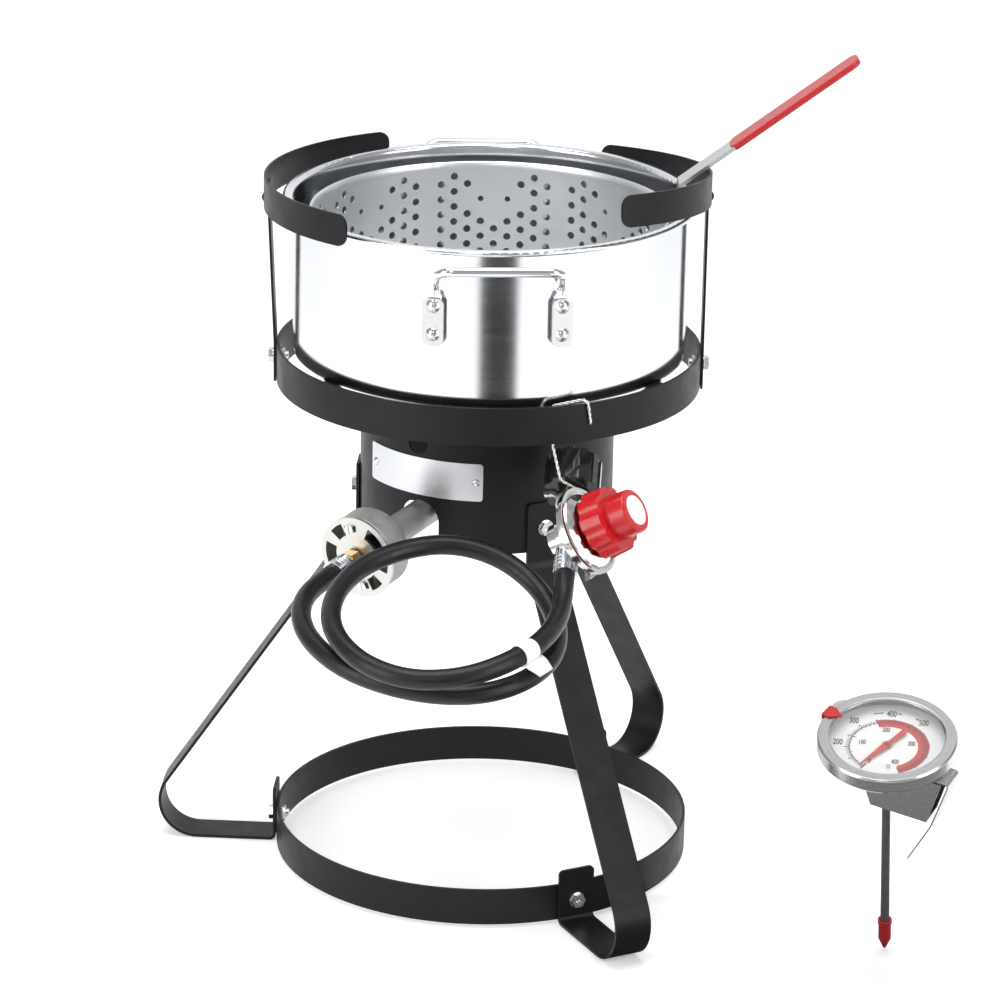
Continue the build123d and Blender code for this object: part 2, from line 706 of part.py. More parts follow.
CAP_TOP = 48.0
with BuildPart() as knob_cap:
    with BuildSketch(level(COLLAR_Z[1])):
        Circle(18.0)
    extrude(amount=CAP_TOP - COLLAR_Z[1], taper=2)
    fillet(knob_cap.faces().sort_by(Axis(regulator.origin, regulator.z_dir))[-1].edges(), 2)
    with BuildSketch(level(CAP_TOP)):
        Circle(12.2)
    extrude(amount=-0.8, mode=Mode.SUBTRACT)
knob_cap.part.label = "knob_cap"
export_step(knob_cap.part, "parts/knob_cap.step")

with BuildPart() as knob_disc:
    with BuildSketch(level(CAP_TOP - 0.8)):
        Circle(12.0)
    extrude(amount=1.2)
knob_disc.part.label = "knob_disc"
export_step(knob_disc.part, "parts/knob_disc.step")

with BuildPart() as regulator_ferrule:
    add(ferrule(outlet_at(OUTLET_END)))
regulator_ferrule.part.label = "regulator_ferrule"
export_step(regulator_ferrule.part, "parts/regulator_ferrule.step")

NUT_START = 46.0
NUT_END = 76.0
with BuildPart() as inlet_nipple:
    with BuildSketch(inlet_at(29.5)):
        Circle(5.9)
    extrude(amount=12)
    with BuildSketch(inlet_at(41.1)):
        Circle(7.0)
    extrude(amount=12)
    with BuildSketch(inlet_at(NUT_START + 4.2)):
        Circle(11.5)
    extrude(amount=4)
    with BuildSketch(inlet_at(NUT_START + 8)):
        Circle(7.0)
        Circle(2.4, mode=Mode.SUBTRACT)
    extrude(amount=5, taper=30)
inlet_nipple.part.label = "inlet_nipple"
export_step(inlet_nipple.part, "parts/inlet_nipple.step")

TANK_THREAD_R = 16.7
TANK_THREAD_LENGTH = 16.0
with BuildPart() as tank_nut:
    with BuildSketch(inlet_at(NUT_START)):
        Circle(20.5)
        with PolarLocations(20.6, 12):
            Rectangle(2.8, 5.4)
    extrude(amount=NUT_END - NUT_START)
    with BuildSketch(inlet_at(NUT_START)):
        Circle(7.08)
    extrude(amount=5, mode=Mode.SUBTRACT)
    with BuildSketch(inlet_at(NUT_START + 4)):
        Circle(12.0)
    extrude(amount=12.5, mode=Mode.SUBTRACT)
    with BuildSketch(inlet_at(NUT_END - TANK_THREAD_LENGTH)):
        Circle(TANK_THREAD_R)
    extrude(amount=TANK_THREAD_LENGTH, mode=Mode.SUBTRACT)
tank_nut.part.label = "tank_nut"
export_step(tank_nut.part, "parts/tank_nut.step")


# ---------------------------------------------------------------- cord-like parts
def run_radii(points):
    """Arc radius for each inner corner: 0.45 of the shorter run over the tangent of half the turn."""
    radii = []
    for before, corner, after in zip(points, points[1:], points[2:]):
        first = Vector(*corner) - Vector(*before)
        second = Vector(*after) - Vector(*corner)
        turn = first.get_angle(second)
        radii.append(0.45 * min(first.length, second.length) / tan(radians(turn / 2)))
    return radii


def report_tube(name, part, radii, length, radius):
    """Print what a tube measures against its route."""
    print(name, "length", round(length, 1), "smallest radius", round(min(radii), 1))
    print(name, "volume over section times length", round(part.volume / (pi * radius**2 * length), 4))


# the gas hose: out of the burner's ferrule, one and a half turns, into the regulator's ferrule
hose_start = venturi_at(FERRULE_START + FERRULE_LENGTH)
hose_end = outlet_at(OUTLET_END + FERRULE_LENGTH)
print("hose start", hose_start.origin, hose_start.z_dir)
print("hose end", hose_end.origin, hose_end.z_dir)
HOSE_ROUTE = [
    tuple(hose_start.origin),
    tuple(hose_start.origin + hose_start.z_dir * 25),
    (-138.5, -233, 300),
    (-138, -260, 294),
    (-127, -288, 287),
    (-104, -314, 279),
    (-72, -331, 273),
    (-36, -340, 269.5),
    (2, -337, 269),
    (34, -316, 272),
    (55, -282, 278),
    (58, -243, 290),
    (42, -209, 308),
    (11, -189, 325),
    (-28, -184, 333),
    (-66, -198, 331),
    (-98, -226, 325),
    (-115, -264, 315),
    (-113, -305, 304),
    (-90, -339, 293),
    (-54, -358, 287.5),
    (-14, -358, 290),
    (20, -340, 296),
    (44, -308, 300),
    (57, -273, 304),
    tuple(hose_end.origin + hose_end.z_dir * 24),
    tuple(hose_end.origin),
]
hose_radii = run_radii(HOSE_ROUTE)
print("hose radii", [round(r) for r in hose_radii])
with BuildPart() as gas_hose:
    with BuildLine() as hose_line:
        FilletPolyline(*HOSE_ROUTE, radius=hose_radii)
    with BuildSketch(hose_start):
        Circle(HOSE_RADIUS)
    sweep(path=hose_line.wire())
report_tube("hose", gas_hose.part, hose_radii, hose_line.wire().length, HOSE_RADIUS)
gas_hose.part.label = "gas_hose"
export_step(gas_hose.part, "parts/gas_hose.step")

# blank label wrapped round the hose's second turn, with a small flag
TAG_AT = 22
tag_before = Vector(*HOSE_ROUTE[TAG_AT])
tag_after = Vector(*HOSE_ROUTE[TAG_AT + 1])
tag_dir = (tag_after - tag_before).normalized()
tag_plane = Plane(
    origin=(tag_before + tag_after) * 0.5 - tag_dir * 8,
    x_dir=Vector(0, 0, 1).cross(tag_dir),
    z_dir=tag_dir,
)
with BuildPart() as hose_tag:
    with BuildSketch(tag_plane):
        Circle(HOSE_RADIUS + 0.9)
        with Locations((0, HOSE_RADIUS + 4)):
            Rectangle(0.8, 8)
        Circle(HOSE_RADIUS + 0.25, mode=Mode.SUBTRACT)
    extrude(amount=16)
hose_tag.part.label = "hose_tag"
export_step(hose_tag.part, "parts/hose_tag.step")

# the twisted wire that hangs the regulator on the top ring
WIRE_RADIUS = 1.25
WIRE_GAP = 43.0
across_wire = regulator.z_dir.cross(inlet_dir)


def round_nipple(out, up):
    """Point in the gap behind the nut: distances from the inlet's axis."""
    return tuple(inlet_at(WIRE_GAP).origin + regulator.z_dir * out + across_wire * up)


WIRE_ROUTE = [
    (80.2, -152.6, 421),
    (77.5, -154.3, 439.5),
    (73.5, -149.6, 439.5),
    (47, -159.9, 436.5),
    (51.4, -158, 404),
    round_nipple(5, 20.6),
    round_nipple(12.1, -5.8),
    round_nipple(5, -13.5),
    round_nipple(-8, -11),
    round_nipple(-12.3, -1),
    round_nipple(-8.8, 8),
    round_nipple(-17.1, 12),
]
wire_radii = [min(r, 6.0) for r in run_radii(WIRE_ROUTE)]
print("wire radii", [round(r, 1) for r in wire_radii])
with BuildPart() as wire_hook:
    with BuildLine() as wire_line:
        FilletPolyline(*WIRE_ROUTE, radius=wire_radii)
    with BuildSketch(Plane(origin=WIRE_ROUTE[0], z_dir=wire_line.wire() % 0)):
        Circle(WIRE_RADIUS)
    sweep(path=wire_line.wire())
report_tube("wire", wire_hook.part, wire_radii, wire_line.wire().length, WIRE_RADIUS)
wire_hook.part.label = "wire_hook"
export_step(wire_hook.part, "parts/wire_hook.step")


# ---------------------------------------------------------------- pot
with BuildPart() as pot:
    with BuildSketch(Plane.XZ):
        with BuildLine():
            FilletPolyline(
                (0, POT_BOTTOM_Z),
                (POT_OUT, POT_BOTTOM_Z),
                (POT_OUT, POT_RIM_Z),
                (POT_RIM_OUT - 2.2, POT_RIM_Z),
                radius=(8, 2.5),
            )
            offset(amount=POT_WALL, side=Side.LEFT)
        make_face()
        with Locations((POT_RIM_OUT - 2.2, POT_RIM_Z - 1.0)):
            Circle(2.2)
    revolve(axis=Axis.Z)
    for azimuth in HANDLE_AZIMUTHS.values():
        for turn in (-BRACKET_ANGLE, BRACKET_ANGLE):
            for height in BRACKET_RIVET_Z:
                hole_along(wall_plane(azimuth + turn, POT_OUT, height), 2.6, 6)
pot.part.label = "pot"
export_step(pot.part, "parts/pot.step")

PADDLE_THICK = 4.0
PADDLE_OUT = POT_OUT + 0.05 + PADDLE_THICK
STRAP_THICK = 2.0
for side, azimuth in HANDLE_AZIMUTHS.items():
    outward = direction(azimuth)
    sideways = direction(azimuth + 90)
    leg_r = (PADDLE_OUT - 0.2) * cos(radians(BRACKET_ANGLE))
    leg_side = (PADDLE_OUT - 0.2) * sin(radians(BRACKET_ANGLE))

    def handle_point(across, out, height):
        """Point in the handle's own directions."""
        return sideways * across + outward * out + Vector(0, 0, height)

    grip_route = [
        handle_point(-leg_side, leg_r, 524.3),
        handle_point(-leg_side, leg_r + 0.6, 530.5),
        handle_point(-HANDLE_HALF, HANDLE_BAR_R, HANDLE_BAR_Z),
        handle_point(HANDLE_HALF, HANDLE_BAR_R, HANDLE_BAR_Z),
        handle_point(leg_side, leg_r + 0.6, 530.5),
        handle_point(leg_side, leg_r, 524.3),
    ]
    with BuildPart() as pot_handle:
        with BuildLine() as grip_line:
            FilletPolyline(*grip_route, radius=[5, 11, 11, 5])
        with BuildSketch(Plane(origin=grip_route[0], z_dir=grip_line.wire() % 0)):
            Circle(HANDLE_WIRE)
        sweep(path=grip_line.wire())
        for turn in (-BRACKET_ANGLE, BRACKET_ANGLE):
            foot = wall_plane(azimuth + turn, POT_OUT + 0.05, 505.0)
            with BuildSketch(foot):
                RectangleRounded(13, 42, 4)
            extrude(amount=PADDLE_THICK)
            for height in BRACKET_RIVET_Z:
                hole_along(wall_plane(azimuth + turn, POT_OUT, height), 2.6, 12)
    pot_handle.part.label = f"pot_handle_{side}"
    export_step(pot_handle.part, f"parts/pot_handle_{side}.step")

    with BuildPart() as handle_straps:
        for turn in (-BRACKET_ANGLE, BRACKET_ANGLE):
            with BuildSketch(wall_plane(azimuth + turn, PADDLE_OUT + 0.05, 502.0)):
                RectangleRounded(17, 38, 5)
            extrude(amount=STRAP_THICK)
            for height in BRACKET_RIVET_Z:
                hole_along(wall_plane(azimuth + turn, POT_OUT, height), 2.6, 20)
    handle_straps.part.label = f"handle_straps_{side}"
    export_step(handle_straps.part, f"parts/handle_straps_{side}.step")

with BuildPart() as pot_rivets:
    for azimuth in HANDLE_AZIMUTHS.values():
        for turn in (-BRACKET_ANGLE, BRACKET_ANGLE):
            for height in BRACKET_RIVET_Z:
                head = wall_plane(azimuth + turn, PADDLE_OUT + STRAP_THICK + 0.1, height)
                rivet_grip = PADDLE_THICK + STRAP_THICK + POT_WALL + 0.2
                add(domed_rivet(head, 5.5, rivet_grip, 3.0))
pot_rivets.part.label = "pot_rivets"
export_step(pot_rivets.part, "parts/pot_rivets.step")


# ---------------------------------------------------------------- basket, its handle and its grip
with BuildPart() as basket:
    with BuildSketch(Plane.XZ):
        with BuildLine():
            FilletPolyline(
                (0, BASKET_BOTTOM_Z),
                (BASKET_OUT, BASKET_BOTTOM_Z),
                (BASKET_OUT, BASKET_RIM_Z - 1.2),
                (BASKET_RIM_OUT - 1.2, BASKET_RIM_Z - 1.2),
                radius=(12, 1.5),
            )
            offset(amount=BASKET_WALL, side=Side.LEFT)
        make_face()
        with Locations((BASKET_RIM_OUT - 1.2, BASKET_RIM_Z - 1.2)):
            Circle(1.2)
    revolve(axis=Axis.Z)
    for height in BASKET_RIVET_Z:
        hole_along(wall_plane(BASKET_HANDLE_AZIMUTH, BASKET_OUT, height), 2.3, 6)
basket.part.label = "basket"
export_step(basket.part, "parts/basket.step")

rise_dir = Vector(cos(radians(BASKET_HANDLE_RISE)), sin(radians(BASKET_HANDLE_RISE)))
BAR_END = 160.0
GRIP_START = 50.0
GRIP_END = 172.5
GRIP_WIDTH = 24.6
GRIP_THICK = 5.0
bend = Vector(*BASKET_HANDLE_BEND)
bar_end = bend + rise_dir * BAR_END

with BuildPart() as basket_handle:
    with BuildSketch(section_plane(BASKET_HANDLE_AZIMUTH)):
        with BuildLine():
            FilletPolyline(
                (BASKET_OUT, 490),
                (BASKET_OUT, 534),
                (bend.X, 543),
                (bend.X, bend.Y),
                (bar_end.X, bar_end.Y),
                radius=(4, 8, 3),
            )
            offset(amount=BASKET_HANDLE_THICK, side=Side.RIGHT)
        make_face()
    extrude(amount=BASKET_HANDLE_WIDTH / 2, both=True)
    fillet(corner_edges(basket_handle, BASKET_HANDLE_THICK), 6)
    for height in BASKET_RIVET_Z:
        hole_along(wall_plane(BASKET_HANDLE_AZIMUTH, BASKET_OUT, height), 2.3, 12)
basket_handle.part.label = "basket_handle"
export_step(basket_handle.part, "parts/basket_handle.step")

handle_section = section_plane(BASKET_HANDLE_AZIMUTH)
bar_top_dir = handle_section.x_dir * (-rise_dir.Y) + handle_section.y_dir * rise_dir.X
bar_run_dir = handle_section.x_dir * rise_dir.X + handle_section.y_dir * rise_dir.Y
bar_mid = handle_section.x_dir * bend.X + handle_section.y_dir * bend.Y
bar_mid = bar_mid - bar_top_dir * (BASKET_HANDLE_THICK / 2)
grip_plane = Plane(origin=bar_mid, x_dir=bar_run_dir, z_dir=bar_top_dir)

with BuildPart() as handle_grip:
    with BuildSketch(grip_plane.offset(-GRIP_THICK / 2)):
        with Locations(((GRIP_START + GRIP_END) / 2, 0)):
            RectangleRounded(GRIP_END - GRIP_START, GRIP_WIDTH, 7)
    extrude(amount=GRIP_THICK)
    fillet(handle_grip.edges().filter_by(GeomType.CIRCLE), 2.0)
    with BuildSketch(grip_plane.offset(-BASKET_HANDLE_THICK / 2 - 0.05)):
        with Locations((GRIP_START - 5, 0)):
            Rectangle(
                BAR_END - GRIP_START + 5.2,
                BASKET_HANDLE_WIDTH + 0.1,
                align=(Align.MIN, Align.CENTER),
            )
    extrude(amount=BASKET_HANDLE_THICK + 0.1, mode=Mode.SUBTRACT)
handle_grip.part.label = "handle_grip"
export_step(handle_grip.part, "parts/handle_grip.step")

with BuildPart() as basket_rivets:
    for height in BASKET_RIVET_Z:
        head = wall_plane(BASKET_HANDLE_AZIMUTH, BASKET_OUT + BASKET_HANDLE_THICK + 0.05, height)
        add(domed_rivet(head, 4.8, BASKET_HANDLE_THICK + BASKET_WALL + 0.1, 2.4))
basket_rivets.part.label = "basket_rivets"
export_step(basket_rivets.part, "parts/basket_rivets.step")


# ---------------------------------------------------------------- dial thermometer on its own axis
gauge = Plane(
    origin=GAUGE_TIP,
    x_dir=Vector(0, 1, 0).cross(Vector(*GAUGE_AXIS)),
    z_dir=GAUGE_AXIS,
)
gauge_section = Plane(origin=gauge.origin, x_dir=gauge.x_dir, z_dir=-gauge.y_dir)
gauge_axis = Axis(gauge.origin, gauge.z_dir)


def turned(outline):
    """Turn a closed outline of (radius, height) points about the stem's axis."""
    with BuildPart() as ring:
        with BuildSketch(gauge_section):
            with BuildLine():
                Polyline(*outline, close=True)
            make_face()
        revolve(axis=gauge_axis)
    return ring.part


def gauge_at(height, turn=0.0):
    """Plane across the stem at a height, with its x turned about the stem."""
    x_dir = gauge.x_dir * cos(radians(turn)) + gauge.y_dir * sin(radians(turn))
    return Plane(origin=gauge.offset(height).origin, x_dir=x_dir, z_dir=gauge.z_dir)


CASE_FLOOR = 198.1
BEZEL_TOP = 218.6
SLEEVE_LENGTH = 30.0
with BuildPart() as tip_protector:
    outline = [
        (0, 0),
        (1.2, 0.6),
        (5.0, 11),
        (5.0, 26),
        (5.6, 27),
        (5.6, SLEEVE_LENGTH),
        (STEM_RADIUS + 0.02, SLEEVE_LENGTH),
        (STEM_RADIUS + 0.02, 12),
        (0, 12),
    ]
    add(turned(outline))
tip_protector.part.label = "tip_protector"
export_step(tip_protector.part, "parts/tip_protector.step")

with BuildPart() as thermometer_stem:
    outline = [
        (0, 12.1),
        (2.2, 12.1),
        (STEM_RADIUS, 14),
        (STEM_RADIUS, CASE_FLOOR + 1.2),
        (1.6, CASE_FLOOR + 1.2),
        (1.6, CASE_FLOOR - 20),
        (0, CASE_FLOOR - 20),
    ]
    add(turned(outline))
thermometer_stem.part.label = "thermometer_stem"
export_step(thermometer_stem.part, "parts/thermometer_stem.step")

with BuildPart() as thermometer_case:
    outline = [
        (STEM_RADIUS + 0.02, CASE_FLOOR),
        (44.2, CASE_FLOOR),
        (52.5, 206.1),
        (52.5, 216.6),
        (51.3, 216.6),
        (51.3, 206.6),
        (43.7, CASE_FLOOR + 1.2),
        (STEM_RADIUS + 0.02, CASE_FLOOR + 1.2),
    ]
    add(turned(outline))
thermometer_case.part.label = "thermometer_case"
export_step(thermometer_case.part, "parts/thermometer_case.step")

with BuildPart() as thermometer_bezel:
    outline = [
        (52.6, 207.6),
        (53.85, 207.6),
        (53.85, 217.2),
        (52.65, BEZEL_TOP),
        (GAUGE_GLASS_R + 1.5, BEZEL_TOP),
        (GAUGE_GLASS_R, 217.6),
        (GAUGE_GLASS_R, 216.8),
        (52.6, 216.8),
    ]
    add(turned(outline))
thermometer_bezel.part.label = "thermometer_bezel"
export_step(thermometer_bezel.part, "parts/thermometer_bezel.step")

with BuildPart() as thermometer_lens:
    add(turned([(0, 214.6), (51.1, 214.6), (51.1, 216.7), (0, 216.7)]))
thermometer_lens.part.label = "thermometer_lens"
export_step(thermometer_lens.part, "parts/thermometer_lens.step")

DIAL_POST = (-1.1, -24.3)
with BuildPart() as thermometer_dial:
    add(turned([(2.2, 206.8), (51.1, 206.8), (51.1, 207.6), (2.2, 207.6)]))
    with BuildSketch(gauge.offset(207.2)):
        with Locations(DIAL_POST):
            Circle(1.6)
    extrude(amount=4.6)
thermometer_dial.part.label = "thermometer_dial"
export_step(thermometer_dial.part, "parts/thermometer_dial.step")

POINTER_ANGLE = 224.5
with BuildPart() as dial_pointer:
    with BuildSketch(gauge_at(209.6, POINTER_ANGLE)):
        with BuildLine():
            Polyline((-21, 2.6), (-21, -2.6), (-5, -1.6), (0, -3.0), (32, -0.4))
            Polyline((32, -0.4), (32, 0.4), (0, 3.0), (-5, 1.6), (-21, 2.6))
        make_face()
        Circle(3.6)
    extrude(amount=0.7)
    with BuildSketch(gauge.offset(CASE_FLOOR - 19)):
        Circle(1.55)
    extrude(amount=212.1 - CASE_FLOOR + 19)
dial_pointer.part.label = "dial_pointer"
export_step(dial_pointer.part, "parts/dial_pointer.step")

MARKER_ANGLE = 144.0
with BuildPart() as bezel_marker:
    with BuildSketch(gauge_at(BEZEL_TOP + 0.3, MARKER_ANGLE)):
        with BuildLine():
            Polyline((40.4, 0), (49, -6.1), (55.4, -6.1), (55.4, 6.1), (49, 6.1), (40.4, 0))
        make_face()
    extrude(amount=1.2)
    with BuildSketch(gauge_at(208.6, MARKER_ANGLE)):
        with Locations((54.9, 0)):
            Rectangle(1.0, 12.2)
    extrude(amount=BEZEL_TOP + 1.5 - 208.6)
bezel_marker.part.label = "bezel_marker"
export_step(bezel_marker.part, "parts/bezel_marker.step")

CLIP_THICK = 1.2
CLIP_TOP = 197.5
CLIP_FLOOR = 153.6
CLIP_TURN = -30.0
clip_section = Plane(
    origin=gauge.origin,
    x_dir=gauge_at(0, CLIP_TURN).x_dir,
    z_dir=-gauge_at(0, CLIP_TURN).y_dir,
)
with BuildPart() as clip_bracket:
    # channel with two ears and a floor, which the stem passes through
    for across in (-10.0, 10.0 - CLIP_THICK):
        with BuildSketch(clip_section.offset(-across - CLIP_THICK)):
            with BuildLine():
                Polyline(
                    (-22, CLIP_TOP - 3),
                    (-9, CLIP_FLOOR),
                    (38.5, CLIP_FLOOR),
                    (50, CLIP_TOP - 3),
                    close=True,
                )
            make_face()
        extrude(amount=CLIP_THICK)
    with BuildSketch(gauge_at(CLIP_FLOOR, CLIP_TURN)):
        with Locations((14.75, 0)):
            Rectangle(47.5, 20)
        Circle(STEM_RADIUS + 0.1, mode=Mode.SUBTRACT)
    extrude(amount=CLIP_THICK)
clip_bracket.part.label = "clip_bracket"
export_step(clip_bracket.part, "parts/clip_bracket.step")

THUMB_ANGLE = 145.0
THUMB_REACH = 66.0
with BuildPart() as clip_leaf:
    with BuildSketch(gauge_at(CLIP_TOP - CLIP_THICK, CLIP_TURN)):
        with Locations((26, 0)):
            Rectangle(52, 20)
        Circle(11)
        with Locations(Rot(0, 0, THUMB_ANGLE)):
            Rectangle(THUMB_REACH, 22, align=(Align.MIN, Align.CENTER))
        with Locations(Rot(0, 0, THUMB_ANGLE) * Pos(THUMB_REACH, 0, 0)):
            Circle(11)
        Circle(STEM_RADIUS + 0.1, mode=Mode.SUBTRACT)
    extrude(amount=CLIP_THICK)
    with BuildSketch(clip_section):
        with BuildLine():
            FilletPolyline(
                (50, CLIP_TOP - CLIP_THICK),
                (55.5, CLIP_TOP - CLIP_THICK),
                (41.5, 150.6),
                (20, 105.6),
                radius=(2, 20),
            )
            offset(amount=CLIP_THICK, side=Side.LEFT)
        make_face()
    extrude(amount=10, both=True)
    fillet(corner_edges(clip_leaf, CLIP_THICK).sort_by(gauge_axis)[:2], 9.9)
clip_leaf.part.label = "clip_leaf"
export_step(clip_leaf.part, "parts/clip_leaf.step")
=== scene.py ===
import json
from math import cos, pi, radians, sin, tan

import bmesh
import bpy
from mathutils import Matrix, Vector


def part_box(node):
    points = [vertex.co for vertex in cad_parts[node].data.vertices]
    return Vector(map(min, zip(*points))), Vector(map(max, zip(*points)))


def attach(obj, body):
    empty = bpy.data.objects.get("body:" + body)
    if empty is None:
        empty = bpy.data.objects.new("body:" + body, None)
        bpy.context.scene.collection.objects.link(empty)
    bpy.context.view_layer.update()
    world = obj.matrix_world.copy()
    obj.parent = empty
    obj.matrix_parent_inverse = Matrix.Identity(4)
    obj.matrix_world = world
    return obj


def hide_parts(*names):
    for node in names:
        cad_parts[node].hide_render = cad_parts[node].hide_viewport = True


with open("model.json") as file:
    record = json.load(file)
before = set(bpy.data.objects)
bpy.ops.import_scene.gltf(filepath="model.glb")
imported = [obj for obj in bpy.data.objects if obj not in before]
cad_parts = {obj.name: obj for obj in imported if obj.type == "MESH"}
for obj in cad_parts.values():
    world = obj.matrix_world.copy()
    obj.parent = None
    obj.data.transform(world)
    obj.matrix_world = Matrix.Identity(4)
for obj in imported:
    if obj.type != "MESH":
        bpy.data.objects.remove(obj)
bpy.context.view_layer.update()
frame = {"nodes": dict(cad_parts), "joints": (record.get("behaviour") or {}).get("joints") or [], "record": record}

# Looks for the outdoor fryer kit. Metres, +Z up, -Y is the side with the hose and the regulator.
nodes = frame["nodes"]
slots = {m["slot"]: m for m in frame["record"]["materials"]}
joints = {j["name"]: j for j in frame["joints"]}
MM = 0.001

# ---------------------------------------------------------------- driving values
HOSE_DIAMETER = 0.0155
HOSE_ROUTE = [
    (-116.8, -187.0, 306.6),
    (-130.0, -208.0, 304.0),
    (-138.5, -233, 300),
    (-138, -260, 294),
    (-127, -288, 287),
    (-104, -314, 279),
    (-72, -331, 273),
    (-36, -340, 269.5),
    (2, -337, 269),
    (34, -316, 272),
    (55, -282, 278),
    (58, -243, 290),
    (42, -209, 308),
    (11, -189, 325),
    (-28, -184, 333),
    (-66, -198, 331),
    (-98, -226, 325),
    (-115, -264, 315),
    (-113, -305, 304),
    (-90, -339, 293),
    (-54, -358, 287.5),
    (-14, -358, 290),
    (20, -340, 296),
    (44, -308, 300),
    (57, -273, 304),
    (60.5, -242.8, 310.3),
    (61.9, -222.1, 322.4),
]
CAMERA_PLACE = (0.0113, -3.2572, 1.4585)
CAMERA_PITCH = 19.53
CAMERA_ROLL = 1.06
CAMERA_LENS = 152.76


# ---------------------------------------------------------------- small helpers
def link(obj):
    """Put a new object into the scene."""
    bpy.context.scene.collection.objects.link(obj)
    return obj


def mesh_piece(name, bm, body, smooth=True):
    """Turn a bmesh into a piece of a body, with a slot of the record."""
    bmesh.ops.remove_doubles(bm, verts=bm.verts, dist=1e-6)
    bmesh.ops.recalc_face_normals(bm, faces=bm.faces)
    mesh = bpy.data.meshes.new(name)
    bm.to_mesh(mesh)
    bm.free()
    for polygon in mesh.polygons:
        polygon.use_smooth = smooth
    obj = link(bpy.data.objects.new(name, mesh))
    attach(obj, body)
    return obj


def frame_matrix(origin, axis, across):
    """Matrix whose z is the axis and whose x is nearest to across."""
    z = Vector(axis).normalized()
    y = z.cross(Vector(across)).normalized()
    x = y.cross(z)
    return Matrix.Translation(origin) @ Matrix((x, y, z)).transposed().to_4x4()


def sweep_tube(bm, line, radius, sides, capped=True):
    """Round tube of mesh along a line of points."""
    rings = []
    side = (line[1] - line[0]).orthogonal().normalized()
    for i, point in enumerate(line):
        ahead = line[min(i + 1, len(line) - 1)]
        behind = line[max(i - 1, 0)]
        along = (ahead - behind).normalized()
        side = (side - along * side.dot(along)).normalized()
        up = along.cross(side)
        ring = []
        for k in range(sides):
            turn = 2 * pi * k / sides
            place = point + (side * cos(turn) + up * sin(turn)) * radius
            ring.append(bm.verts.new(place))
        rings.append(ring)
    for low, high in zip(rings, rings[1:]):
        for k in range(sides):
            after = (k + 1) % sides
            bm.faces.new((low[k], low[after], high[after], high[k]))
    if capped:
        bm.faces.new(list(reversed(rings[0])))
        bm.faces.new(rings[-1])
    return rings


def own_line(curve):
    """Points along a curve's own line, with no bevel."""
    data = curve.data.copy()
    data.bevel_depth = 0
    bare = link(bpy.data.objects.new("bare_line", data))
    graph = bpy.context.evaluated_depsgraph_get()
    mesh = bpy.data.meshes.new_from_object(bare.evaluated_get(graph))
    line = [vertex.co.copy() for vertex in mesh.vertices]
    bpy.data.objects.remove(bare)
    return line


# ---------------------------------------------------------------- camera
def make_camera():
    """Long lens, a little above the pot, with the picture's slight roll."""
    data = bpy.data.cameras.new("camera")
    data.lens = CAMERA_LENS
    data.sensor_width = 36
    data.clip_end = 60
    camera = link(bpy.data.objects.new("camera", data))
    pitch = Matrix.Rotation(radians(90 - CAMERA_PITCH), 4, "X")
    roll = Matrix.Rotation(radians(CAMERA_ROLL), 4, "Z")
    camera.matrix_world = Matrix.Translation(CAMERA_PLACE) @ pitch @ roll
    bpy.context.scene.camera = camera


make_camera()


# ---------------------------------------------------------------- gas hose
def make_hose():
    """The hose as one smooth spline. Its points' radius is its thickness, so its bounds are true."""
    data = bpy.data.curves.new("hose", "CURVE")
    data.dimensions = "3D"
    data.bevel_depth = 1.0
    data.bevel_resolution = 10
    data.resolution_u = 10
    data.use_fill_caps = True
    spline = data.splines.new("NURBS")
    spline.points.add(len(HOSE_ROUTE) - 1)
    for point, place in zip(spline.points, HOSE_ROUTE):
        point.co = (*(c * MM for c in place), 1)
        point.radius = HOSE_DIAMETER / 2
    spline.order_u = 3
    spline.use_endpoint_u = True
    hose = link(bpy.data.objects.new("hose", data))
    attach(hose, "stand")
    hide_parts("gas_hose")
    return hose


def make_tag(line):
    """Blank paper label round the hose, its two ends stuck together as a flag."""
    low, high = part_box("hose_tag")
    centre = (low + high) / 2
    middle = min(range(len(line)), key=lambda i: (line[i] - centre).length)
    half_width = 0.011
    reach = [p for p in line if (p - line[middle]).length < half_width]
    radius = HOSE_DIAMETER / 2 + 0.0003
    bm = bmesh.new()
    sweep_tube(bm, reach, radius, 32, capped=False)
    along = (reach[-1] - reach[0]).normalized()
    outward = along.cross(Vector((0, 0, 1))).normalized()
    outward = (outward * 0.80 - Vector((0, 0, 1)) * 0.60).normalized()
    outward = (outward - along * outward.dot(along)).normalized()
    root = reach[len(reach) // 2] + outward * (radius - 0.0004)
    steps = 6
    rows = []
    for i in range(steps + 1):
        t = i / steps
        width = half_width * (1.0 - 0.45 * max(0.0, t - 0.35))
        shift = along * (0.004 * t)
        droop = Vector((0, 0, -0.0022)) * t * t
        place = root + outward * (0.0125 * t) + shift + droop
        rows.append([bm.verts.new(place + along * (width * s)) for s in (-1, 0, 1)])
    for low_row, high_row in zip(rows, rows[1:]):
        for k in range(2):
            bm.faces.new((low_row[k], low_row[k + 1], high_row[k + 1], high_row[k]))
    tag = mesh_piece("paper_tag", bm, "stand")
    solid = tag.modifiers.new("thickness", "SOLIDIFY")
    solid.thickness = 0.0004
    solid.offset = 1
    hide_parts("hose_tag")
    return tag


hose = make_hose()
hose_line = own_line(hose)
paper_tag = make_tag(hose_line)


